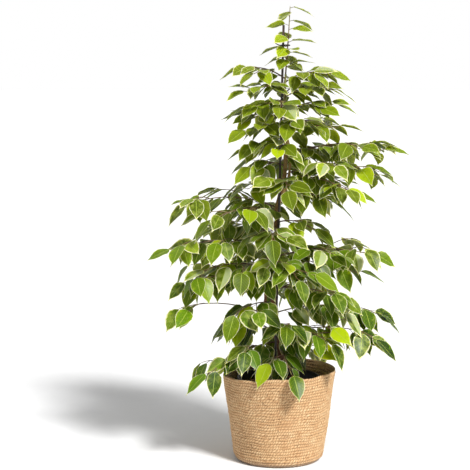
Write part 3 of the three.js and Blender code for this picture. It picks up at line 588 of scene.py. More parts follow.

# Bamboo, stained: dark purple brown with a hard waxy skin, and paler streaks along the grain that are painted
# sheen.
stained_cane, tree, shader = new_material("stained_bamboo", 0.4)
place = add(tree, "ShaderNodeTexCoord").outputs["Object"]
long_grain = add(tree, "ShaderNodeMapping", {"Vector": place, "Scale": (1, 1, 0.06)}).outputs[0]
streaks = add(tree, "ShaderNodeTexNoise",
              {"Vector": long_grain, "Scale": 1 / (1.6 * MM), "Detail": 3}).outputs["Fac"]
# Dark grain, with the palest streaks as painted sheen.
cane_brown_and_sheen = add(tree, "ShaderNodeValToRGB", {0: streaks},
                 [(0.35, "#1d1413"), (0.55, "#33241f"), (0.75, "#5b4335")])
tree.links.new(cane_brown_and_sheen.outputs[0], shader.inputs["Base Color"])
relief = add(tree, "ShaderNodeBump", {"Strength": 0.3, "Distance": 0.3 * MM, "Height": streaks}).outputs[0]
tree.links.new(relief, shader.inputs["Normal"])

# Rows along the cane, with a small bevel at both cut ends, and knuckles at uneven distances.
cane_length = np.linalg.norm(CANE_TOP - CANE_FOOT)
down = np.concatenate([[0, 0.4], np.arange(2, cane_length - 2, 2.5), [cane_length - 0.4, cane_length]])
knuckle = np.exp(-((down / KNUCKLE_SPACING + 0.06 * np.sin(down / 97)) % 1 - 0.5) ** 2 / 0.0007)
cane_radii = CANE_RADIUS * (CANE_BETWEEN_KNUCKLES + KNUCKLE_SWELLING * knuckle)
cane_radii[[0, -1]] = CANE_RADIUS * 0.75
cane_line = CANE_FOOT + (CANE_TOP - CANE_FOOT) * (down / cane_length)[:, None]
cane = new_piece("cane", tube(cane_line, cane_radii, CANE_SIDES, ALONG_X), [stained_cane])
stand_for(cane, "cane", "stake")

# Ties: black soft PVC tube, sold by the roll for tying plants. Each is pulled tight round the cane and the
# stems beside it, and its cut end stands out to the left.
TIE_RADIUS = 1.25
TIE_SLACK = 0.7
TIE_SIDES = 8
TIE_SWAY = 0.8
TIE_TAIL = 13
TIE_TAIL_RADIUS = 0.85 * TIE_RADIUS
# How the cut end bends to the front and upwards, with the square of its length.
TIE_TAIL_CURVE = (-0.02, 0.035)
TIE_HEIGHTS = {"tie_low": 438, "tie_middle": 691, "tie_top": 925}
# The leader's shoot, which the top tie holds.
SHOOT_ROW = [[13, 3, 862.3], [17.6, 3, 926], [20, 3, 965], [22, 2, 1006]]
SHOOT_RADII = [2.7, 2.27, 1.83, 1.4]


def circles_at(height):
    """Centre and radius of the cane and of each stem at a height."""
    share = (height - CANE_FOOT[2]) / (CANE_TOP[2] - CANE_FOOT[2])
    found = [(*(CANE_FOOT + (CANE_TOP - CANE_FOOT) * share)[:2], CANE_RADIUS)]
    for stem, radii in STEMS + ((SHOOT_ROW, SHOOT_RADII),):
        row = np.array(stem, float)
        if row[0, 2] < height < row[-1, 2]:
            columns = (row[:, 0], row[:, 1], radii)
            found.append(tuple(np.interp(height, row[:, 2], column) for column in columns))
    return np.array(found)


def belt(circles, offset, steps=56):
    """Loop pulled tight round the circles, and its outward directions. For each direction it takes the point
    of the circle that reaches furthest, moved out by the offset."""
    angle = 2 * np.pi * np.arange(steps) / steps
    way = np.column_stack([np.cos(angle), np.sin(angle)])
    reach = circles[:, :2] @ way.T + circles[:, 2:]
    widest = circles[reach.argmax(axis=0)]
    return widest[:, :2] + way * (widest[:, 2:] + offset), way


# Soft PVC: extruded and black, with a low gloss and a grey bloom in places.
soft_pvc, tree, shader = new_material("black_soft_pvc", 0.36)
place = add(tree, "ShaderNodeTexCoord").outputs["Object"]
bloom = add(tree, "ShaderNodeTexNoise", {"Vector": place, "Scale": 1 / (3 * MM), "Detail": 3}).outputs["Fac"]
pvc_black = add(tree, "ShaderNodeValToRGB", {0: bloom}, [(0.4, "#101010"), (0.75, "#2a2927")]).outputs[0]
tree.links.new(pvc_black, shader.inputs["Base Color"])

section = 2 * np.pi * np.arange(TIE_SIDES) / TIE_SIDES
for name, height in TIE_HEIGHTS.items():
    loop, way = belt(circles_at(height), TIE_SLACK + TIE_RADIUS)
    outwards = np.column_stack([way, np.zeros(len(way))])
    line = np.column_stack([loop, height + TIE_SWAY * np.sin(np.arctan2(way[:, 1], way[:, 0]))])
    inwards_part = -np.cos(section)[None, :, None] * outwards[:, None]
    rings = line[:, None] + TIE_RADIUS * (inwards_part + np.sin(section)[None, :, None] * UP)
    band = loft(rings, rows_of(line), closed=True)
    left = loop[loop[:, 0].argmin()]
    out = np.linspace(0, TIE_TAIL, 7)
    aside, lift = (curve * out ** 2 for curve in TIE_TAIL_CURVE)
    tail_line = np.column_stack([left[0] - out, left[1] + aside, height + lift])
    tail = tube(tail_line, np.full(len(out), TIE_TAIL_RADIUS), TIE_SIDES, UP)
    tie = new_piece(name + "_tube", gather([band, tail]), [soft_pvc])
    stand_for(tie, "tie_plastic", name)

# Sprays: a branch each, with its side twigs and leaves. Fig twigs are thin and brown, and leave the leader to
# all sides. Their leaves stand left and right in turn on thin stalks, and hang more the lower they grow.

# Each branch has its height on the leader, its heading in degrees, its reach and its rise, and where it stays
# bare for longer than the rest, its bare length too.
BRANCHES = [
    [852, 176, 88, 22], [845, 345, 90, 18], [830, 198, 80, -6], [820, 55, 78, 20], [812, 338, 106, 18],
    [799, 250, 70, 2], [786, 178, 78, 5], [776, 10, 100, 20], [764, 165, 86, 6], [754, 300, 82, 0],
    [745, 194, 88, -6], [738, 55, 108, 15], [730, 348, 110, 17], [712, 262, 86, -10], [704, 172, 76, -6],
    [683, 35, 145, 15], [674, 4, 205, 20], [660, 200, 74, 0], [648, 88, 138, 10], [640, 352, 200, 4],
    [632, 325, 165, -24], [622, 275, 112, -5], [612, 150, 100, 0], [600, 52, 150, 8], [592, 335, 120, -6],
    [567, 184, 194, 12], [558, 212, 165, -5], [546, 105, 165, 0], [534, 315, 92, 0], [520, 260, 128, -5],
    [504, 148, 165, 0], [474, 32, 160, -24], [464, 190, 222, 14], [456, 0, 214, 10], [449, 82, 190, 0],
    [442, 290, 145, -10], [428, 206, 180, 5], [420, 348, 182, 6], [412, 130, 170, 5], [404, 194, 195, 5],
    [386, 318, 160, -15], [372, 62, 185, -10], [352, 225, 118, -6], [330, 6, 222, -8],
    [318, 186, 206, 34, 160], [304, 305, 150, -25], [288, 128, 152, -12], [278, 346, 214, 8],
    [266, 198, 164, -58], [252, 275, 118, -35], [242, 62, 165, -25],
]
# Arch and sway as shares of the reach, bare length at the trunk's end, distance from leaf to leaf, and the
# radii at both ends.
BRANCH_ARCH = (0.06, 0.14)
BRANCH_SWAY = (-0.12, 0.12)
BRANCH_BARE = 24
BRANCH_LEAVES = 37
BRANCH_RADII = (1.7, 0.85)
# A branch has a side twig for each SIDE_PER_REACH of its reach. They stand at these shares of its length, are
# these shares of it long, and leave it at these angles. A lone one stands near the first share.
SIDE_PER_REACH = 82
SIDE_SHARES = (0.3, 0.78)
SIDE_LONE_SHARE = 0.3
SIDE_LENGTHS = (0.52, 0.21)
SIDE_LEAST_REACH = 38
SIDE_SPREAD = (35, 49)
SIDE_RISE = (0.25, -0.25)
SIDE_ARCH = 0.08
SIDE_SWAY = 0.1
SIDE_BARE = 15
SIDE_LEAVES = 32
SIDE_TWIG_RADII = (1.1, 0.7)
# Straight segments of the plain solid's twigs, along which the leaves are spaced.
BRANCH_SEGMENTS = 3
SIDE_SEGMENTS = 2
# Corners round a twig and rows along it, and the bud at its end.
TWIG_SIDES = 7
TWIG_POINTS = 9
BUD_LENGTH = 4.8
BUD_TIP = 0.25
# The leader's shoot bears its leaves in a spiral, which turns by the golden angle from one to the next.
SHOOT_SEED = 99
SHOOT_BARE = 12
SHOOT_LEAVES = 9.5
SPIRAL = 137.5


def draw(a, b, c):
    """Repeatable draw from 0 to 1 for three numbers: what follows the point in a large multiple of the sine
    of their weighted sum."""
    return math.sin(a * 127.1 + b * 311.7 + c * 74.7) * 43758.5453 % 1


def between(pair, share):
    """The value at a share of the way from the first of a pair to the second."""
    return pair[0] + (pair[1] - pair[0]) * share


def raised(angle, elevation):
    """Direction at an angle round the plant, raised above the level, both in degrees."""
    turn, lift = math.radians(angle), math.radians(elevation)
    return np.array([math.cos(turn) * math.cos(lift), math.sin(turn) * math.cos(lift), math.sin(lift)])


def angle_of(direction):
    """Heading of a direction round the plant, in degrees."""
    return math.degrees(math.atan2(direction[1], direction[0]))


def twig_row(twig, shares):
    """Points of a twig: out along its heading, up by its rise and its arch, and aside with the share squared.
    One that leaves a branch starts on the branch's own curve, and the shift that this takes fades towards its
    tip. The leader's shoot has a curve of its own."""
    if "curve" in twig:
        places = np.linspace(0, 1, len(twig["curve"]))
        return np.stack([np.interp(shares, places, values) for values in twig["curve"].T], axis=-1)
    share = np.asarray(shares, float)[..., None]
    arch = 4 * twig["arch"] * twig["reach"] * share * (1 - share)
    row = twig["root"] + twig["out"] * twig["reach"] * share
    row = row + twig["aside"] * twig["reach"] * twig["sway"] * share ** 2 + UP * (twig["rise"] * share + arch)
    return row + twig["seat"] * (1 - share)


def with_knots(twig, knots):
    """The twig with its knots, which are where the plain solid's twig bends, and the steps between them."""
    steps = np.linalg.norm(np.diff(knots, axis=0), axis=1)
    return twig | {"knots": knots, "steps": steps, "length": steps.sum()}


def new_twig(root, angle, reach, rise, arch, sway, segments):
    """A twig's figures. Its seat is what shifts its root onto the curve of the branch that it leaves."""
    twig = {"root": root, "out": raised(angle, 0), "aside": raised(angle + 90, 0), "reach": reach,
            "rise": rise, "arch": arch, "sway": sway, "seat": np.zeros(3)}
    return with_knots(twig, twig_row(twig, np.linspace(0, 1, segments + 1)))


def along_twig(twig, distance):
    """Point, direction and share of the knots at a distance along a twig."""
    ends = np.cumsum(twig["steps"])
    index = min(int(np.searchsorted(ends, distance)), len(ends) - 1)
    rest = distance - (ends[index] - twig["steps"][index])
    along = unit(twig["knots"][index + 1] - twig["knots"][index])
    return twig["knots"][index] + along * rest, along, (index + rest / twig["steps"][index]) / len(ends)


def branch_of(seed, shift):
    """A branch. It stands on the leader's middle line at its height, and its arch and its sway are drawn."""
    height, angle, reach, rise = BRANCHES[seed][:4]
    row = np.array(LEADER, float)
    root = np.array([np.interp(height, row[:, 2], row[:, axis]) for axis in range(3)])
    arch = between(BRANCH_ARCH, draw(seed, 1, 2))
    sway = between(BRANCH_SWAY, draw(seed, 1, 1))
    return new_twig(root, angle + shift[0], reach, rise + shift[1], arch, sway, BRANCH_SEGMENTS)


def side_of(seed, branch, number, count, bare, shift):
    """A side twig of a branch: it stands at a share of the branch's length, left and right in turn."""
    first = max(SIDE_SHARES[0], bare / branch["length"])
    share = between((first, SIDE_SHARES[1]), SIDE_LONE_SHARE if count == 1 else number / (count - 1))
    start, along, knot_share = along_twig(branch, branch["length"] * share)
    side = 1 if (number + seed) % 2 == 0 else -1
    aside = between(SIDE_SPREAD, draw(seed, number, 3)) + shift[0]
    reach = max(SIDE_LEAST_REACH, branch["length"] * between(SIDE_LENGTHS, share))
    rise = reach * between(SIDE_RISE, draw(seed, number, 4)) + shift[1]
    angle = angle_of(along) + side * aside
    twig = new_twig(start, angle, reach, rise, SIDE_ARCH, side * SIDE_SWAY, SIDE_SEGMENTS)
    twig["seat"] = twig_row(branch, knot_share) - start
    return twig


def stem_twig(points, bare, spacing):
    """A stem that bears leaves itself, in a spiral, with the same figures as a twig."""
    knots = np.array(points, float)
    return with_knots({"curve": smooth_row(knots), "bare": bare, "spacing": spacing, "spiral": True}, knots)


def twig_tube(twig, reference):
    """A twig's tube: it thins evenly from one of its radii to the other, and ends in a pointed bud."""
    share = np.linspace(0, 1, TWIG_POINTS)
    line = twig_row(twig, share)
    line = np.vstack([line, line[-1] + unit(line[-1] - line[-2]) * BUD_LENGTH])
    radii = np.append(np.interp(share, [0, 1], twig["radii"]), BUD_TIP)
    return tube(line, radii, TWIG_SIDES, reference)


# Twigs and leaf stalks: fig twigs under a thin purplish-brown bark, green towards their tips, with a soft
# gloss.
twig_bark, tree, shader = new_material("fig_twig_bark", 0.5)
place = add(tree, "ShaderNodeTexCoord").outputs["Object"]
patchy = add(tree, "ShaderNodeTexNoise",
             {"Vector": place, "Scale": 1 / (16 * MM), "Detail": 4}).outputs["Fac"]
twig_brown = add(tree, "ShaderNodeValToRGB", {0: patchy},
                 [(0.35, "#4b3528"), (0.52, "#77583c"), (0.68, "#96905a")])
tree.links.new(twig_brown.outputs[0], shader.inputs["Base Color"])
relief = add(tree, "ShaderNodeBump", {"Strength": 0.3, "Distance": 0.3 * MM, "Height": patchy}).outputs[0]
tree.links.new(relief, shader.inputs["Normal"])

# Heights between which the first value of a pair for leaves turns into the second.
CROWN_FOOT = 240
CROWN_TOP = 860
LEAF_SIZES = (1.05, 0.9)
LEAF_DROOPS = (48, 13)
ROLL_TO_LIGHT = (20, 6)
# Ranges that a draw for each leaf picks from: lengths in millimetres, width and sag as shares of the length,
# the slope of the folded halves, and the turn aside from the twig in degrees.
LEAF_LENGTH = (53, 68)
LEAF_WIDTHS = (0.54, 0.62)
LEAF_FOLD = (0.1, 0.3)
LEAF_SAG = (0.06, 0.18)
STALK_LENGTH = (9, 14)
TURN_ASIDE = (38, 66)
# Degrees over which droop and roll are spread. A stalk rises by STALK_RAISE less a share of its leaf's droop,
# and the leaf at a twig's end hardly turns aside.
DROOP_SPREAD = 40
ROLL_SPREAD = 60
STALK_RAISE = 24
STALK_DROOP = 0.75
END_TURN = 8
# Stations of a blade from its base: share of the length and of the half width. From the last one the tip
# draws out to a point.
STATIONS = np.array([
    [0, 0.04], [0.06, 0.5], [0.19, 0.92], [0.36, 1], [0.55, 0.87], [0.71, 0.58], [0.83, 0.22], [0.91, 0.07],
])
# Corners of a ring round the blade: place across as a share of the half width, and height in half
# thicknesses. The last one lies underneath.
RING = np.array([[1, 0], [0.52, 1], [0, 1], [-0.52, 1], [-1, 0], [0, -1.3]])
STALK_THICKNESS = 1.1
BLADE_THICKNESS = 0.7
EDGE_WAVE = 1.5
TIP_BEND = 0.14


def new_leaf(spray, host, spot, shift):
    """A leaf's frame and sizes. It grows at one of the places on a twig, turns aside from it and droops, and
    is rolled about its midrib by a draw and by the cosine of its heading, so that one that points sideways
    shows more of its upper face to the front, where the light comes from."""
    distance, turn, number = spot
    twig = spray["twigs"][host]

    def pick(series, pair=(0, 1)):
        """The leaf's draw from one series, between the two values of a pair."""
        return between(pair, draw(spray["seed"], host, series + number))

    point, along, share = along_twig(twig, distance)
    high = min(max((point[2] - CROWN_FOOT) / (CROWN_TOP - CROWN_FOOT), 0), 1)
    angle = angle_of(along) + turn + shift[1] * (-1 if turn < 0 else 1)
    droop = between(LEAF_DROOPS, high) + DROOP_SPREAD * (pick(10) - 0.5) + shift[0]
    length = pick(30, LEAF_LENGTH) * between(LEAF_SIZES, high) * shift[2]
    stalk = raised(angle, STALK_RAISE - STALK_DROOP * droop)
    out = raised(angle, -droop)
    sideways = between(ROLL_TO_LIGHT, high) * math.cos(math.radians(angle))
    roll = math.radians(ROLL_SPREAD * (pick(70) - 0.5) + sideways)
    level = raised(angle + 90, 0)
    across = level * math.cos(roll) + np.cross(out, level) * math.sin(roll)
    return {
        "root": twig_row(twig, share),
        "base": point + stalk * pick(50, STALK_LENGTH),
        "out": out,
        "across": across,
        "face": np.cross(out, across),
        "length": length,
        "half": length * pick(110, LEAF_WIDTHS) / 2,
        "fold": pick(130, LEAF_FOLD),
        "sag": pick(90, LEAF_SAG),
        "wave": pick(210),
        "bend": pick(230) - 0.5,
        "shade": pick(250),
        "cream": pick(270),
        "young": pick(290),
        "high": high,
    }


def figures(leaves, key):
    """One figure of each leaf, a row for each."""
    return np.array([leaf[key] for leaf in leaves])[:, None]


def leaf_points(leaves):
    """Rings of points round each leaf's stalk root, stalk end and blade, and its tip. A point of the blade
    lies out along the midrib and aside by its share of the half width. The fold lifts it towards the edges,
    the sag lowers it with the square of the way out, a sine ripples the edges, and the tip bends aside with
    the cube of the way out."""
    def row(key):
        return figures(leaves, key)[:, None]

    along, width = STATIONS[:, 0][None, :, None], STATIONS[:, 1][None, :, None]
    place, layer = RING[:, 0][None, None], RING[:, 1][None, None]
    half = np.maximum(row("half") * width, STALK_THICKNESS / 2)
    aside = place * half + row("bend") * TIP_BEND * row("length") * along ** 3
    ripple = EDGE_WAVE * np.sin(2 * np.pi * (1.5 * along + row("wave")) + 0.3 * place) * np.abs(place) * width
    fold = row("fold") * (np.sqrt((place * half) ** 2 + 1) - 1)
    thick = np.where(along > 0, BLADE_THICKNESS, STALK_THICKNESS) / 2
    above = fold + ripple + layer * thick - row("length") * row("sag") * along ** 2
    base, out, across, face = (row(key) for key in ("base", "out", "across", "face"))
    blade = base + out * (row("length") * along)[..., None] + across * aside[..., None]
    blade = blade + face * above[..., None]
    stalk = row("root") + (blade[:, :1] - base)
    length, sag, bend = (figures(leaves, key) for key in ("length", "sag", "bend"))
    tip = base[:, 0, 0] + out[:, 0, 0] * length + across[:, 0, 0] * bend * TIP_BEND * length
    tip = tip - face[:, 0, 0] * length * sag
    rings = np.concatenate([stalk, blade], axis=1).reshape(len(leaves), -1, 3)
    return np.concatenate([rings, tip[:, None]], axis=1)


ring_rows = len(STATIONS) + 1
ring_sides = len(RING)
leaf_size = ring_rows * ring_sides + 1
_, (leaf_quads, leaf_root, _), _ = loft(np.zeros((ring_rows, ring_sides, 3)), np.zeros(ring_rows))
# The lower faces start at their next corner, so that they fold along the same diagonals as the upper ones.
is_lower = np.tile(np.arange(ring_sides) >= 4, ring_rows - 1)
leaf_quads[is_lower] = np.roll(leaf_quads[is_lower], -1, axis=1)
last_ring = leaf_size - 1 - ring_sides + np.arange(ring_sides)
leaf_tips = np.column_stack([last_ring, np.roll(last_ring, -1), np.full(ring_sides, leaf_size - 1)])
# Material numbers: 0 stalk, 1 upper side, 2 underside.
side_kind = np.where(np.arange(ring_sides) < 4, 1, 2)
quad_kinds = np.tile(side_kind, ring_rows - 1)
quad_kinds[:ring_sides] = 0
# Places on the blade for its pattern: share across and share along, with the stalk at the very base.
point_u = np.append(np.tile(0.5 + 0.5 * RING[:, 0], ring_rows), 0.5)
point_v = np.append(np.repeat(np.append(0, STATIONS[:, 0]), ring_sides), 1)
# Distance from the edge as a share of the half width, which the cream edge is drawn by.
point_edge = np.append(np.outer(np.append(0, STATIONS[:, 1]), 1 - np.abs(RING[:, 0])).ravel(), 0)
blade_polygons = leaf_quads[ring_sides:].tolist() + leaf_tips.tolist()


def leaf_shape(leaves):
    """Points, face arrays and UV places of several leaves, one leaf's points after another's."""
    start = leaf_size * np.arange(len(leaves))[:, None, None]
    faces = [(group + start).reshape(-1, group.shape[-1]) for group in (leaf_quads, leaf_tips, leaf_root)]
    numbers = [face % leaf_size for face in faces]
    corners = [np.stack([point_u[number], point_v[number]], axis=-1) for number in numbers]
    return leaf_points(leaves).reshape(-1, 3), faces, corners


# The cream edge's least and greatest width, before the wander narrows it, and how soft it is. The distance
# from the blade's edge is kept as a share of EDGE_SCALE, because a colour attribute holds it.
CREAM_WIDTH = (1.44, 6.8)
CREAM_SOFT = 0.48
EDGE_SCALE = 40
# Side veins on each half of the blade, and the share of the blade's length by which one would slant towards
# the tip over the blade's whole width.
VEINS = 9
VEIN_SLANT = 0.55


def traits_of(leaves):
    """What the leaf's material reads at each point, as a colour: how far in from the edge it lies, how young
    the leaf is, how much cream it has and how light its green is."""
    edge = figures(leaves, "half") * point_edge / EDGE_SCALE
    youth = np.clip(figures(leaves, "youth"), 0, 1)
    columns = np.broadcast_arrays(edge, youth, figures(leaves, "cream"), figures(leaves, "shade"))
    return np.stack(columns, axis=-1).reshape(-1, 4)


def leaf_material(name, roughness, greens, cream, pale_half, lime, vein, vein_share):
    """Fig leaf: green in the middle with grey-green clouds, an uneven cream edge, a pale midrib and faint
    side veins. The greens are a dark and a middle one, one for the clouds and an olive one for the upper
    crown. A young leaf is lime coloured, and pale_half is one side of a leaf that has hardly any green."""
    made, tree, shader = new_material(name, roughness)
    shader.inputs["IOR"].default_value = 1.42
    shader.inputs["Specular IOR Level"].default_value = 0.28
    # Some of the light that falls on one side comes out on the other.
    shader.inputs["Subsurface Weight"].default_value = 0.6
    shader.inputs["Subsurface Radius"].default_value = (1, 1, 0.2)
    shader.inputs["Subsurface Scale"].default_value = 1.5 * MM
    place = add(tree, "ShaderNodeTexCoord").outputs["Object"]
    spot = add(tree, "ShaderNodeSeparateXYZ", {0: add(tree, "ShaderNodeUVMap").outputs["UV"]}).outputs
    traits = add(tree, "ShaderNodeAttribute", attribute_name="leaf_traits")
    trait = add(tree, "ShaderNodeSeparateColor", {0: traits.outputs["Color"]}).outputs
    # Clouds some 13 mm across, and the wander of the cream edge, some 8 mm long.
    clouds = add(tree, "ShaderNodeTexNoise",
                 {"Vector": place, "Scale": 1 / (13 * MM), "Detail": 4}).outputs["Fac"]
    wander = add(tree, "ShaderNodeTexNoise",
                 {"Vector": place, "Scale": 1 / (8 * MM), "Detail": 2}).outputs["Fac"]
    clouded = add(tree, "ShaderNodeMath", {0: trait["Blue"], 1: 0.34, 2: clouds},
                  operation="MULTIPLY_ADD").outputs[0]
    clouded = add(tree, "ShaderNodeMapRange", {"Value": clouded, "From Min": 0.7, "From Max": 1}).outputs[0]
    shaded = add(tree, "ShaderNodeMix",
                 {0: traits.outputs["Alpha"], 6: linear(greens[0]), 7: linear(greens[1])},
                 data_type="RGBA").outputs[2]
    green = add(tree, "ShaderNodeMix", {0: clouded, 6: shaded, 7: linear(greens[2])},
                data_type="RGBA").outputs[2]
    # Higher up, the leaves are mixed towards an olive green.
    height = add(tree, "ShaderNodeSeparateXYZ", {0: place}).outputs["Z"]
    height = add(tree, "ShaderNodeMapRange",
                 {"Value": height, "From Min": 0.3, "From Max": 1, "To Max": 0.7}).outputs[0]
    green = add(tree, "ShaderNodeMix", {0: height, 6: green, 7: linear(greens[3])},
                data_type="RGBA").outputs[2]
    green = add(tree, "ShaderNodeMix", {0: trait["Green"], 6: green, 7: linear(lime)},
                data_type="RGBA").outputs[2]
    # The leaves with most cream are grey cream on one side of the midrib.
    side = add(tree, "ShaderNodeMath", {0: spot["X"], 1: 0.5}, operation="SUBTRACT").outputs[0]
    pale = add(tree, "ShaderNodeMapRange",
               {"Value": trait["Blue"], "From Min": 0.88, "From Max": 0.92}).outputs[0]
    one_side = add(tree, "ShaderNodeMapRange",
                   {"Value": side, "From Min": -0.01, "From Max": 0.01}).outputs[0]
    pale = add(tree, "ShaderNodeMath", {0: pale, 1: one_side}, operation="MULTIPLY").outputs[0]
    green = add(tree, "ShaderNodeMix", {0: pale, 6: green, 7: linear(pale_half)}, data_type="RGBA").outputs[2]
    # A midrib, and side veins that slant away from it towards the tip.
    across = add(tree, "ShaderNodeMath", {0: side}, operation="ABSOLUTE").outputs[0]
    slanted = add(tree, "ShaderNodeMath", {0: across, 1: -VEIN_SLANT, 2: spot["Y"]},
                  operation="MULTIPLY_ADD").outputs[0]
    slanted = add(tree, "ShaderNodeMath", {0: slanted, 1: 2 * math.pi * VEINS},
                  operation="MULTIPLY").outputs[0]
    ribs = add(tree, "ShaderNodeMath", {0: slanted}, operation="COSINE").outputs[0]
    ribs = add(tree, "ShaderNodeMapRange", {"Value": ribs, "From Min": 0.75, "To Max": vein_share}).outputs[0]
    midrib = add(tree, "ShaderNodeMapRange",
                 {"Value": across, "From Min": 0.024, "From Max": 0.01}).outputs[0]
    veins = add(tree, "ShaderNodeMath", {0: ribs, 1: midrib}, operation="MAXIMUM").outputs[0]
    veined = add(tree, "ShaderNodeMix", {0: veins, 6: green, 7: linear(vein)}, data_type="RGBA").outputs[2]
    # Cream edge: about 1 mm wide, and up to 5 mm on the leaves with most cream.
    wide = add(tree, "ShaderNodeMath", {0: trait["Blue"], 1: 3}, operation="POWER").outputs[0]
    narrowest, widest = (width / EDGE_SCALE for width in CREAM_WIDTH)
    wide = add(tree, "ShaderNodeMapRange", {"Value": wide, "To Min": narrowest, "To Max": widest}).outputs[0]
    wide = add(tree, "ShaderNodeMath", {0: wide, 1: wander}, operation="MULTIPLY").outputs[0]
    near = add(tree, "ShaderNodeMath", {0: wide, 1: trait["Red"]}, operation="SUBTRACT").outputs[0]
    soft = CREAM_SOFT / EDGE_SCALE
    edge = add(tree, "ShaderNodeMapRange", {"Value": near, "From Min": -soft, "From Max": soft}).outputs[0]
    edged = add(tree, "ShaderNodeMix", {0: edge, 6: veined, 7: linear(cream)}, data_type="RGBA").outputs[2]
    tree.links.new(edged, shader.inputs["Base Color"])
    height = add(tree, "ShaderNodeMath", {0: veins, 1: clouds}, operation="ADD").outputs[0]
    relief = add(tree, "ShaderNodeBump",
                 {"Strength": 0.25, "Distance": 0.4 * MM, "Height": height}).outputs[0]
    tree.links.new(relief, shader.inputs["Normal"])
    return made


# The upper side has a waxy skin that takes a soft gloss, and the underside is paler and matt.
leaf_top = leaf_material("fig_leaf_upper", 0.36, ("#223c02", "#5a7c0c", "#919d4c", "#838f16"),
                         "#ece8a6", "#a9b480", "#a8bc0e", "#a2b24a", 0.16)
leaf_back = leaf_material("fig_leaf_underside", 0.6, ("#55691c", "#76862a", "#8f9a56", "#838e2e"),
                          "#dcd89c", "#b0b688", "#a8b62a", "#a8b258", 0.3)

# The ways in which a twig (turn, lift) or a leaf (droop, turn, size) was shifted to find a free place.
TWIG_SHIFTS = [(0, 0), (8, 6), (-8, -6), (4, 14), (-15, 4), (15, -10), (0, -16), (24, 12), (-24, 12)]
LEAF_SHIFTS = [
    (0, 0, 1), (18, 0, 1), (0, 26, 1), (4, -28, 1), (-20, 5, 1), (34, 16, 1), (10, 40, 0.92), (-8, -44, 0.86),
    (26, -20, 0.8),
]
# How near, in millimetres, a worked-out corner lies to the solid's own corner, and the radii of the solid's
# twigs at their tips.
SAME_CORNER = 0.02
SOLID_BRANCH_TIP = 1.3
SOLID_SIDE_TIP = 1.2
# A leaf is as young as a high power of its draw says, and a little more so at a twig's end high up and on the
# shoot.
YOUNG_RARE = 9
YOUNG_END = 0.15
YOUNG_SHOOT = 0.08
# Added leaves leave less of a twig's inner end bare.
ADDED_BARE = 9


def is_corner(point, corners):
    """True where one of the corners lies at the point."""
    return np.abs(corners - point).max(axis=1).min() < SAME_CORNER


def is_twig(twig, tip_radius, corners):
    """True where the last ring of this twig, a triangle, is among the solid's corners. One of its three may
    be inside the leaf that grows there."""
    along = unit(twig["knots"][-1] - twig["knots"][-2])
    across = unit(np.cross(UP, along))
    over = np.cross(along, across)
    wide, high = math.cos(math.radians(30)), math.sin(math.radians(30))
    ring = [(wide, high), (0, -1), (-wide, high)]
    found = [is_corner(twig["knots"][-1] + tip_radius * (a * across + b * over), corners) for a, b in ring]
    return sum(found) >= 2


def places_on(spray, host, offset):
    """Distance, turn and number of each leaf place on a twig, from its end inwards. offset 0 gives the
    solid's own leaves, and 0.5 the places half way between them."""
    twig = spray["twigs"][host]
    bare = twig["bare"] if offset == 0 or twig["bare"] > BRANCH_BARE else ADDED_BARE
    count = math.ceil((twig["length"] - bare) / twig["spacing"] - offset)
    for number in np.arange(count) + offset:
        side = 1 if math.ceil(number) % 2 == 0 else -1
        side = side if offset == 0 else -side
        aside = END_TURN if number == 0 else between(TURN_ASIDE, draw(spray["seed"], host, 150 + number))
        turn = SPIRAL * number if "spiral" in twig else side * aside
        yield twig["length"] - number * twig["spacing"], turn, number


def grow(spray, leaf, is_end=False):
    """Adds a leaf to its spray. Few leaves are young, and those at a twig's end high up and on the shoot are
    a little younger than the rest."""
    leaf["youth"] = leaf["young"] ** YOUNG_RARE + YOUNG_END * is_end * leaf["high"] ** 2
    if spray["seed"] == SHOOT_SEED:
        leaf["youth"] += YOUNG_SHOOT
    spray["leaves"].append(leaf)


sprays = [{"name": "leader_shoot", "seed": SHOOT_SEED, "leaves": []}]
sprays += [{"name": f"spray_{seed + 1:02d}", "seed": seed, "leaves": []} for seed in range(len(BRANCHES))]
# What grows on each spray: the shifts are tried until one gives corners that are among the solid's.
for spray in sprays:
    corners = corners_of(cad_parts[spray["name"]].data)
    seed = spray["seed"]
    if seed == SHOOT_SEED:
        spray["twigs"] = [stem_twig(SHOOT_ROW, SHOOT_BARE, SHOOT_LEAVES) | {"radii": BRANCH_RADII}]
    else:
        bare = BRANCHES[seed][4] if len(BRANCHES[seed]) > 4 else BRANCH_BARE
        options = (branch_of(seed, shift) for shift in TWIG_SHIFTS)
        branch = next(twig for twig in options if is_twig(twig, SOLID_BRANCH_TIP, corners))
        spray["twigs"] = [branch | {"bare": bare, "spacing": BRANCH_LEAVES, "radii": BRANCH_RADII}]
        count = max(1, math.floor((BRANCHES[seed][2] - bare + BRANCH_BARE) / SIDE_PER_REACH + 0.5))
        for number in range(count):
            options = (side_of(seed, branch, number, count, bare, shift) for shift in TWIG_SHIFTS)
            side = next((twig for twig in options if is_twig(twig, SOLID_SIDE_TIP, corners)), None)
            if side:
                side = side | {"bare": SIDE_BARE, "spacing": SIDE_LEAVES, "radii": SIDE_TWIG_RADII}
                spray["twigs"].append(side)
    for host in range(len(spray["twigs"])):
        for spot in places_on(spray, host, 0):
            for leaf in (new_leaf(spray, host, spot, shift) for shift in LEAF_SHIFTS):
                tip = leaf["base"] + leaf["length"] * (leaf["out"] - leaf["face"] * leaf["sag"])
                if is_corner(tip, corners):
                    grow(spray, leaf, is_end=spot[2] == 0)
                    break

# The upper leader bears a few leaves of its own, which the plain solids leave out, and none at its front.
LEADER_SEED = 98
LEADER_LEAFY = 11
LEADER_BARE = 10
LEADER_LEAVES = 12
LEADER_FRONT = -0.3
leader_stem = stem_twig(LEADER[LEADER_LEAFY:], LEADER_BARE, LEADER_LEAVES)
leader = {"name": "leader", "seed": LEADER_SEED, "twigs": [leader_stem], "leaves": []}

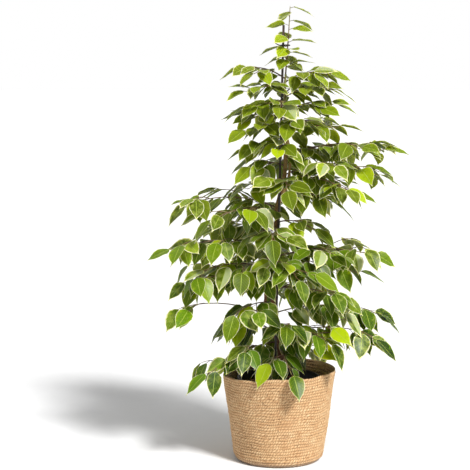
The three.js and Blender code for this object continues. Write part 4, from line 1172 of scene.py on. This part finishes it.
# Leaves are added between the solid's own where they have room, also on the inner stretch of a branch. A pass
# has its offset from one leaf place to the next, and how far from the middle it reaches high up and low down.
ADDED_PASSES = ((0.5, 400, 400), (0.25, 400, 105), (0.75, 95, 95))
ADDED_SHIFTS = [(0, 0, 1), (8, 24, 0.97), (-6, -26, 0.97), (10, 44, 0.9), (-10, -48, 0.86)]
SPARSE_BELOW = 520
SPARSE_ABOVE = 925
# The boxes and the trees of faces of what is in place.
kept_lows, kept_highs, kept_trees = [], [], []


def keep(points, polygons=blade_polygons):
    """Counts a blade, or a solid, among what is in place."""
    kept_lows.append(points.min(axis=0))
    kept_highs.append(points.max(axis=0))
    kept_trees.append(BVHTree.FromPolygons(points.tolist(), polygons))


def is_free(points):
    """True where a blade crosses nothing that is in place."""
    reaches_up = (np.array(kept_lows) < points.max(axis=0)).all(axis=1)
    reaches_down = (np.array(kept_highs) > points.min(axis=0)).all(axis=1)
    own = BVHTree.FromPolygons(points.tolist(), blade_polygons)
    return not any(own.overlap(kept_trees[index]) for index in np.flatnonzero(reaches_up & reaches_down))


def added_places():
    """Spray, twig number and leaf place of each leaf that may be added, pass by pass."""
    for offset, high_reach, low_reach in ADDED_PASSES:
        for spray in [leader] + sprays:
            # Stems get leaves half way between theirs alone, and a long bare branch gets none.
            branch = spray["twigs"][0]
            if (offset != 0.5 and "spiral" in branch) or branch["bare"] > BRANCH_BARE:
                continue
            for host, twig in enumerate(spray["twigs"]):
                for spot in places_on(spray, host, offset):
                    root = along_twig(twig, spot[0])[0]
                    reach = low_reach if root[2] < SPARSE_BELOW else high_reach
                    if math.hypot(root[0], root[1]) <= reach and root[2] <= SPARSE_ABOVE:
                        yield spray, host, spot


for spray in sprays:
    for points in leaf_points(spray["leaves"]):
        keep(points)
for name in ("trunk", "stake", "soil", "nursery_pot", "basket"):
    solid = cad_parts[name].data
    keep(corners_of(solid), [list(face.vertices) for face in solid.polygons])
for spray, host, spot in added_places():
    for leaf in (new_leaf(spray, host, spot, shift) for shift in ADDED_SHIFTS):
        points = leaf_points([leaf])[0]
        on_bare_front = spray is leader and leaf["out"][1] < LEADER_FRONT
        if not on_bare_front and is_free(points):
            keep(points)
            grow(spray, leaf)
            break

for spray in sprays + [leader]:
    leaves = spray["leaves"]
    reference = ALONG_X if spray["seed"] == SHOOT_SEED else UP
    twigs = [twig_tube(twig, reference) for twig in spray["twigs"] if "radii" in twig]
    twig_points = sum(len(points) for points, _, _ in twigs)
    twig_faces = sum(len(face) for _, faces, _ in twigs for face in faces)
    leaf_kinds = [np.tile(quad_kinds, len(leaves)), np.tile(side_kind, len(leaves)), np.zeros(len(leaves))]
    piece = new_piece(spray["name"] + "_leaves", gather(twigs + [leaf_shape(leaves)]),
                      [twig_bark, leaf_top, leaf_back], np.concatenate([np.zeros(twig_faces)] + leaf_kinds))
    colours = np.vstack([np.zeros((twig_points, 4)), traits_of(leaves)]).astype(np.float32)
    traits = piece.data.attributes.new("leaf_traits", "FLOAT_COLOR", "POINT")
    traits.data.foreach_set("color", colours.ravel())
    # The edge of a blade is a sharp one: it runs through the first corner and the fifth of each ring.
    pairs = np.empty(len(piece.data.edges) * 2, np.int32)
    piece.data.edges.foreach_get("vertices", pairs)
    pairs = pairs.reshape(-1, 2) - twig_points
    at_edge = np.isin(pairs % leaf_size % ring_sides, (0, 4)).all(axis=1) & (pairs >= 0).all(axis=1)
    sharp = piece.data.attributes.new("sharp_edge", "BOOLEAN", "EDGE")
    sharp.data.foreach_set("value", at_edge)
    if spray is leader:
        stand_for(piece, "foliage")
    else:
        stand_for(piece, "foliage", spray["name"])

# Studio: a plain white floor under an even white sky, and one broad soft light from the front right that lays
# the shadow to the back left.
FLOOR_SIZE = 40
LIGHT_WAY = (0.42, -0.595, 0.685)
SKY_LIGHT = 0.44
KEY_LIGHT = 4
KEY_SPREAD = 13

# Painted floor: matt white, rolled on, with a faint unevenness of three swells in 100 mm.
white_paint, tree, shader = new_material("white_floor_paint", 0.9)
place = add(tree, "ShaderNodeTexCoord").outputs["Object"]
nap = add(tree, "ShaderNodeTexNoise", {"Vector": place, "Scale": 3 / (100 * MM)}).outputs["Fac"]
whites = add(tree, "ShaderNodeValToRGB", {0: nap}, [(0, "#f4f4f4"), (1, "#f8f8f8")]).outputs[0]
tree.links.new(whites, shader.inputs["Base Color"])

half = FLOOR_SIZE / 2
floor_corners = [(-half, -half, 0), (half, -half, 0), (half, half, 0), (-half, half, 0)]
floor_mesh = bpy.data.meshes.new("studio_floor")
floor_mesh.from_pydata(floor_corners, [], [(0, 1, 2, 3)])
floor_mesh.materials.append(white_paint)
studio_floor = bpy.data.objects.new("studio_floor", floor_mesh)
bpy.context.scene.collection.objects.link(studio_floor)

sky = bpy.data.worlds.new("studio_sky")
sky.use_nodes = True
bpy.context.scene.world = sky
tree = sky.node_tree
lighting = tree.nodes["Background"]
lighting.inputs["Color"].default_value = (1, 1, 1, 1)
lighting.inputs["Strength"].default_value = SKY_LIGHT
# Looked at directly, the sky is plain white.
backdrop = add(tree, "ShaderNodeBackground", {"Color": (1, 1, 1, 1), "Strength": 1.0})
seen = add(tree, "ShaderNodeLightPath").outputs["Is Camera Ray"]
both = add(tree, "ShaderNodeMixShader", {0: seen, 1: lighting.outputs[0], 2: backdrop.outputs[0]})
tree.links.new(both.outputs[0], tree.nodes["World Output"].inputs["Surface"])

key = bpy.data.lights.new("soft_key", "SUN")
key.energy = KEY_LIGHT
key.angle = math.radians(KEY_SPREAD)
key_light = bpy.data.objects.new("soft_key", key)
bpy.context.scene.collection.objects.link(key_light)
way = np.array(LIGHT_WAY) / np.linalg.norm(LIGHT_WAY)
key_light.rotation_euler = (math.acos(way[2]), 0, math.atan2(way[0], -way[1]))

bpy.context.scene.view_settings.view_transform = "Standard"

# Camera: nearly level with the top of the plant, 3.5 m away and looking down by a few degrees through a long
# lens, as in the photograph.
CAMERA_PLACE = (-98, -3500, 970)
CAMERA_PITCH = 7.54
FOCAL_PIXELS = 1590
IMAGE_WIDTH = 470
SENSOR_WIDTH = 36

camera_data = bpy.data.cameras.new("camera")
camera_data.sensor_width = SENSOR_WIDTH
camera_data.lens = SENSOR_WIDTH * FOCAL_PIXELS / IMAGE_WIDTH
camera_data.clip_end = 100
camera = bpy.data.objects.new("camera", camera_data)
camera.location = [value * MM for value in CAMERA_PLACE]
camera.rotation_euler = (math.radians(90 - CAMERA_PITCH), 0, 0)
bpy.context.scene.collection.objects.link(camera)
bpy.context.scene.camera = camera
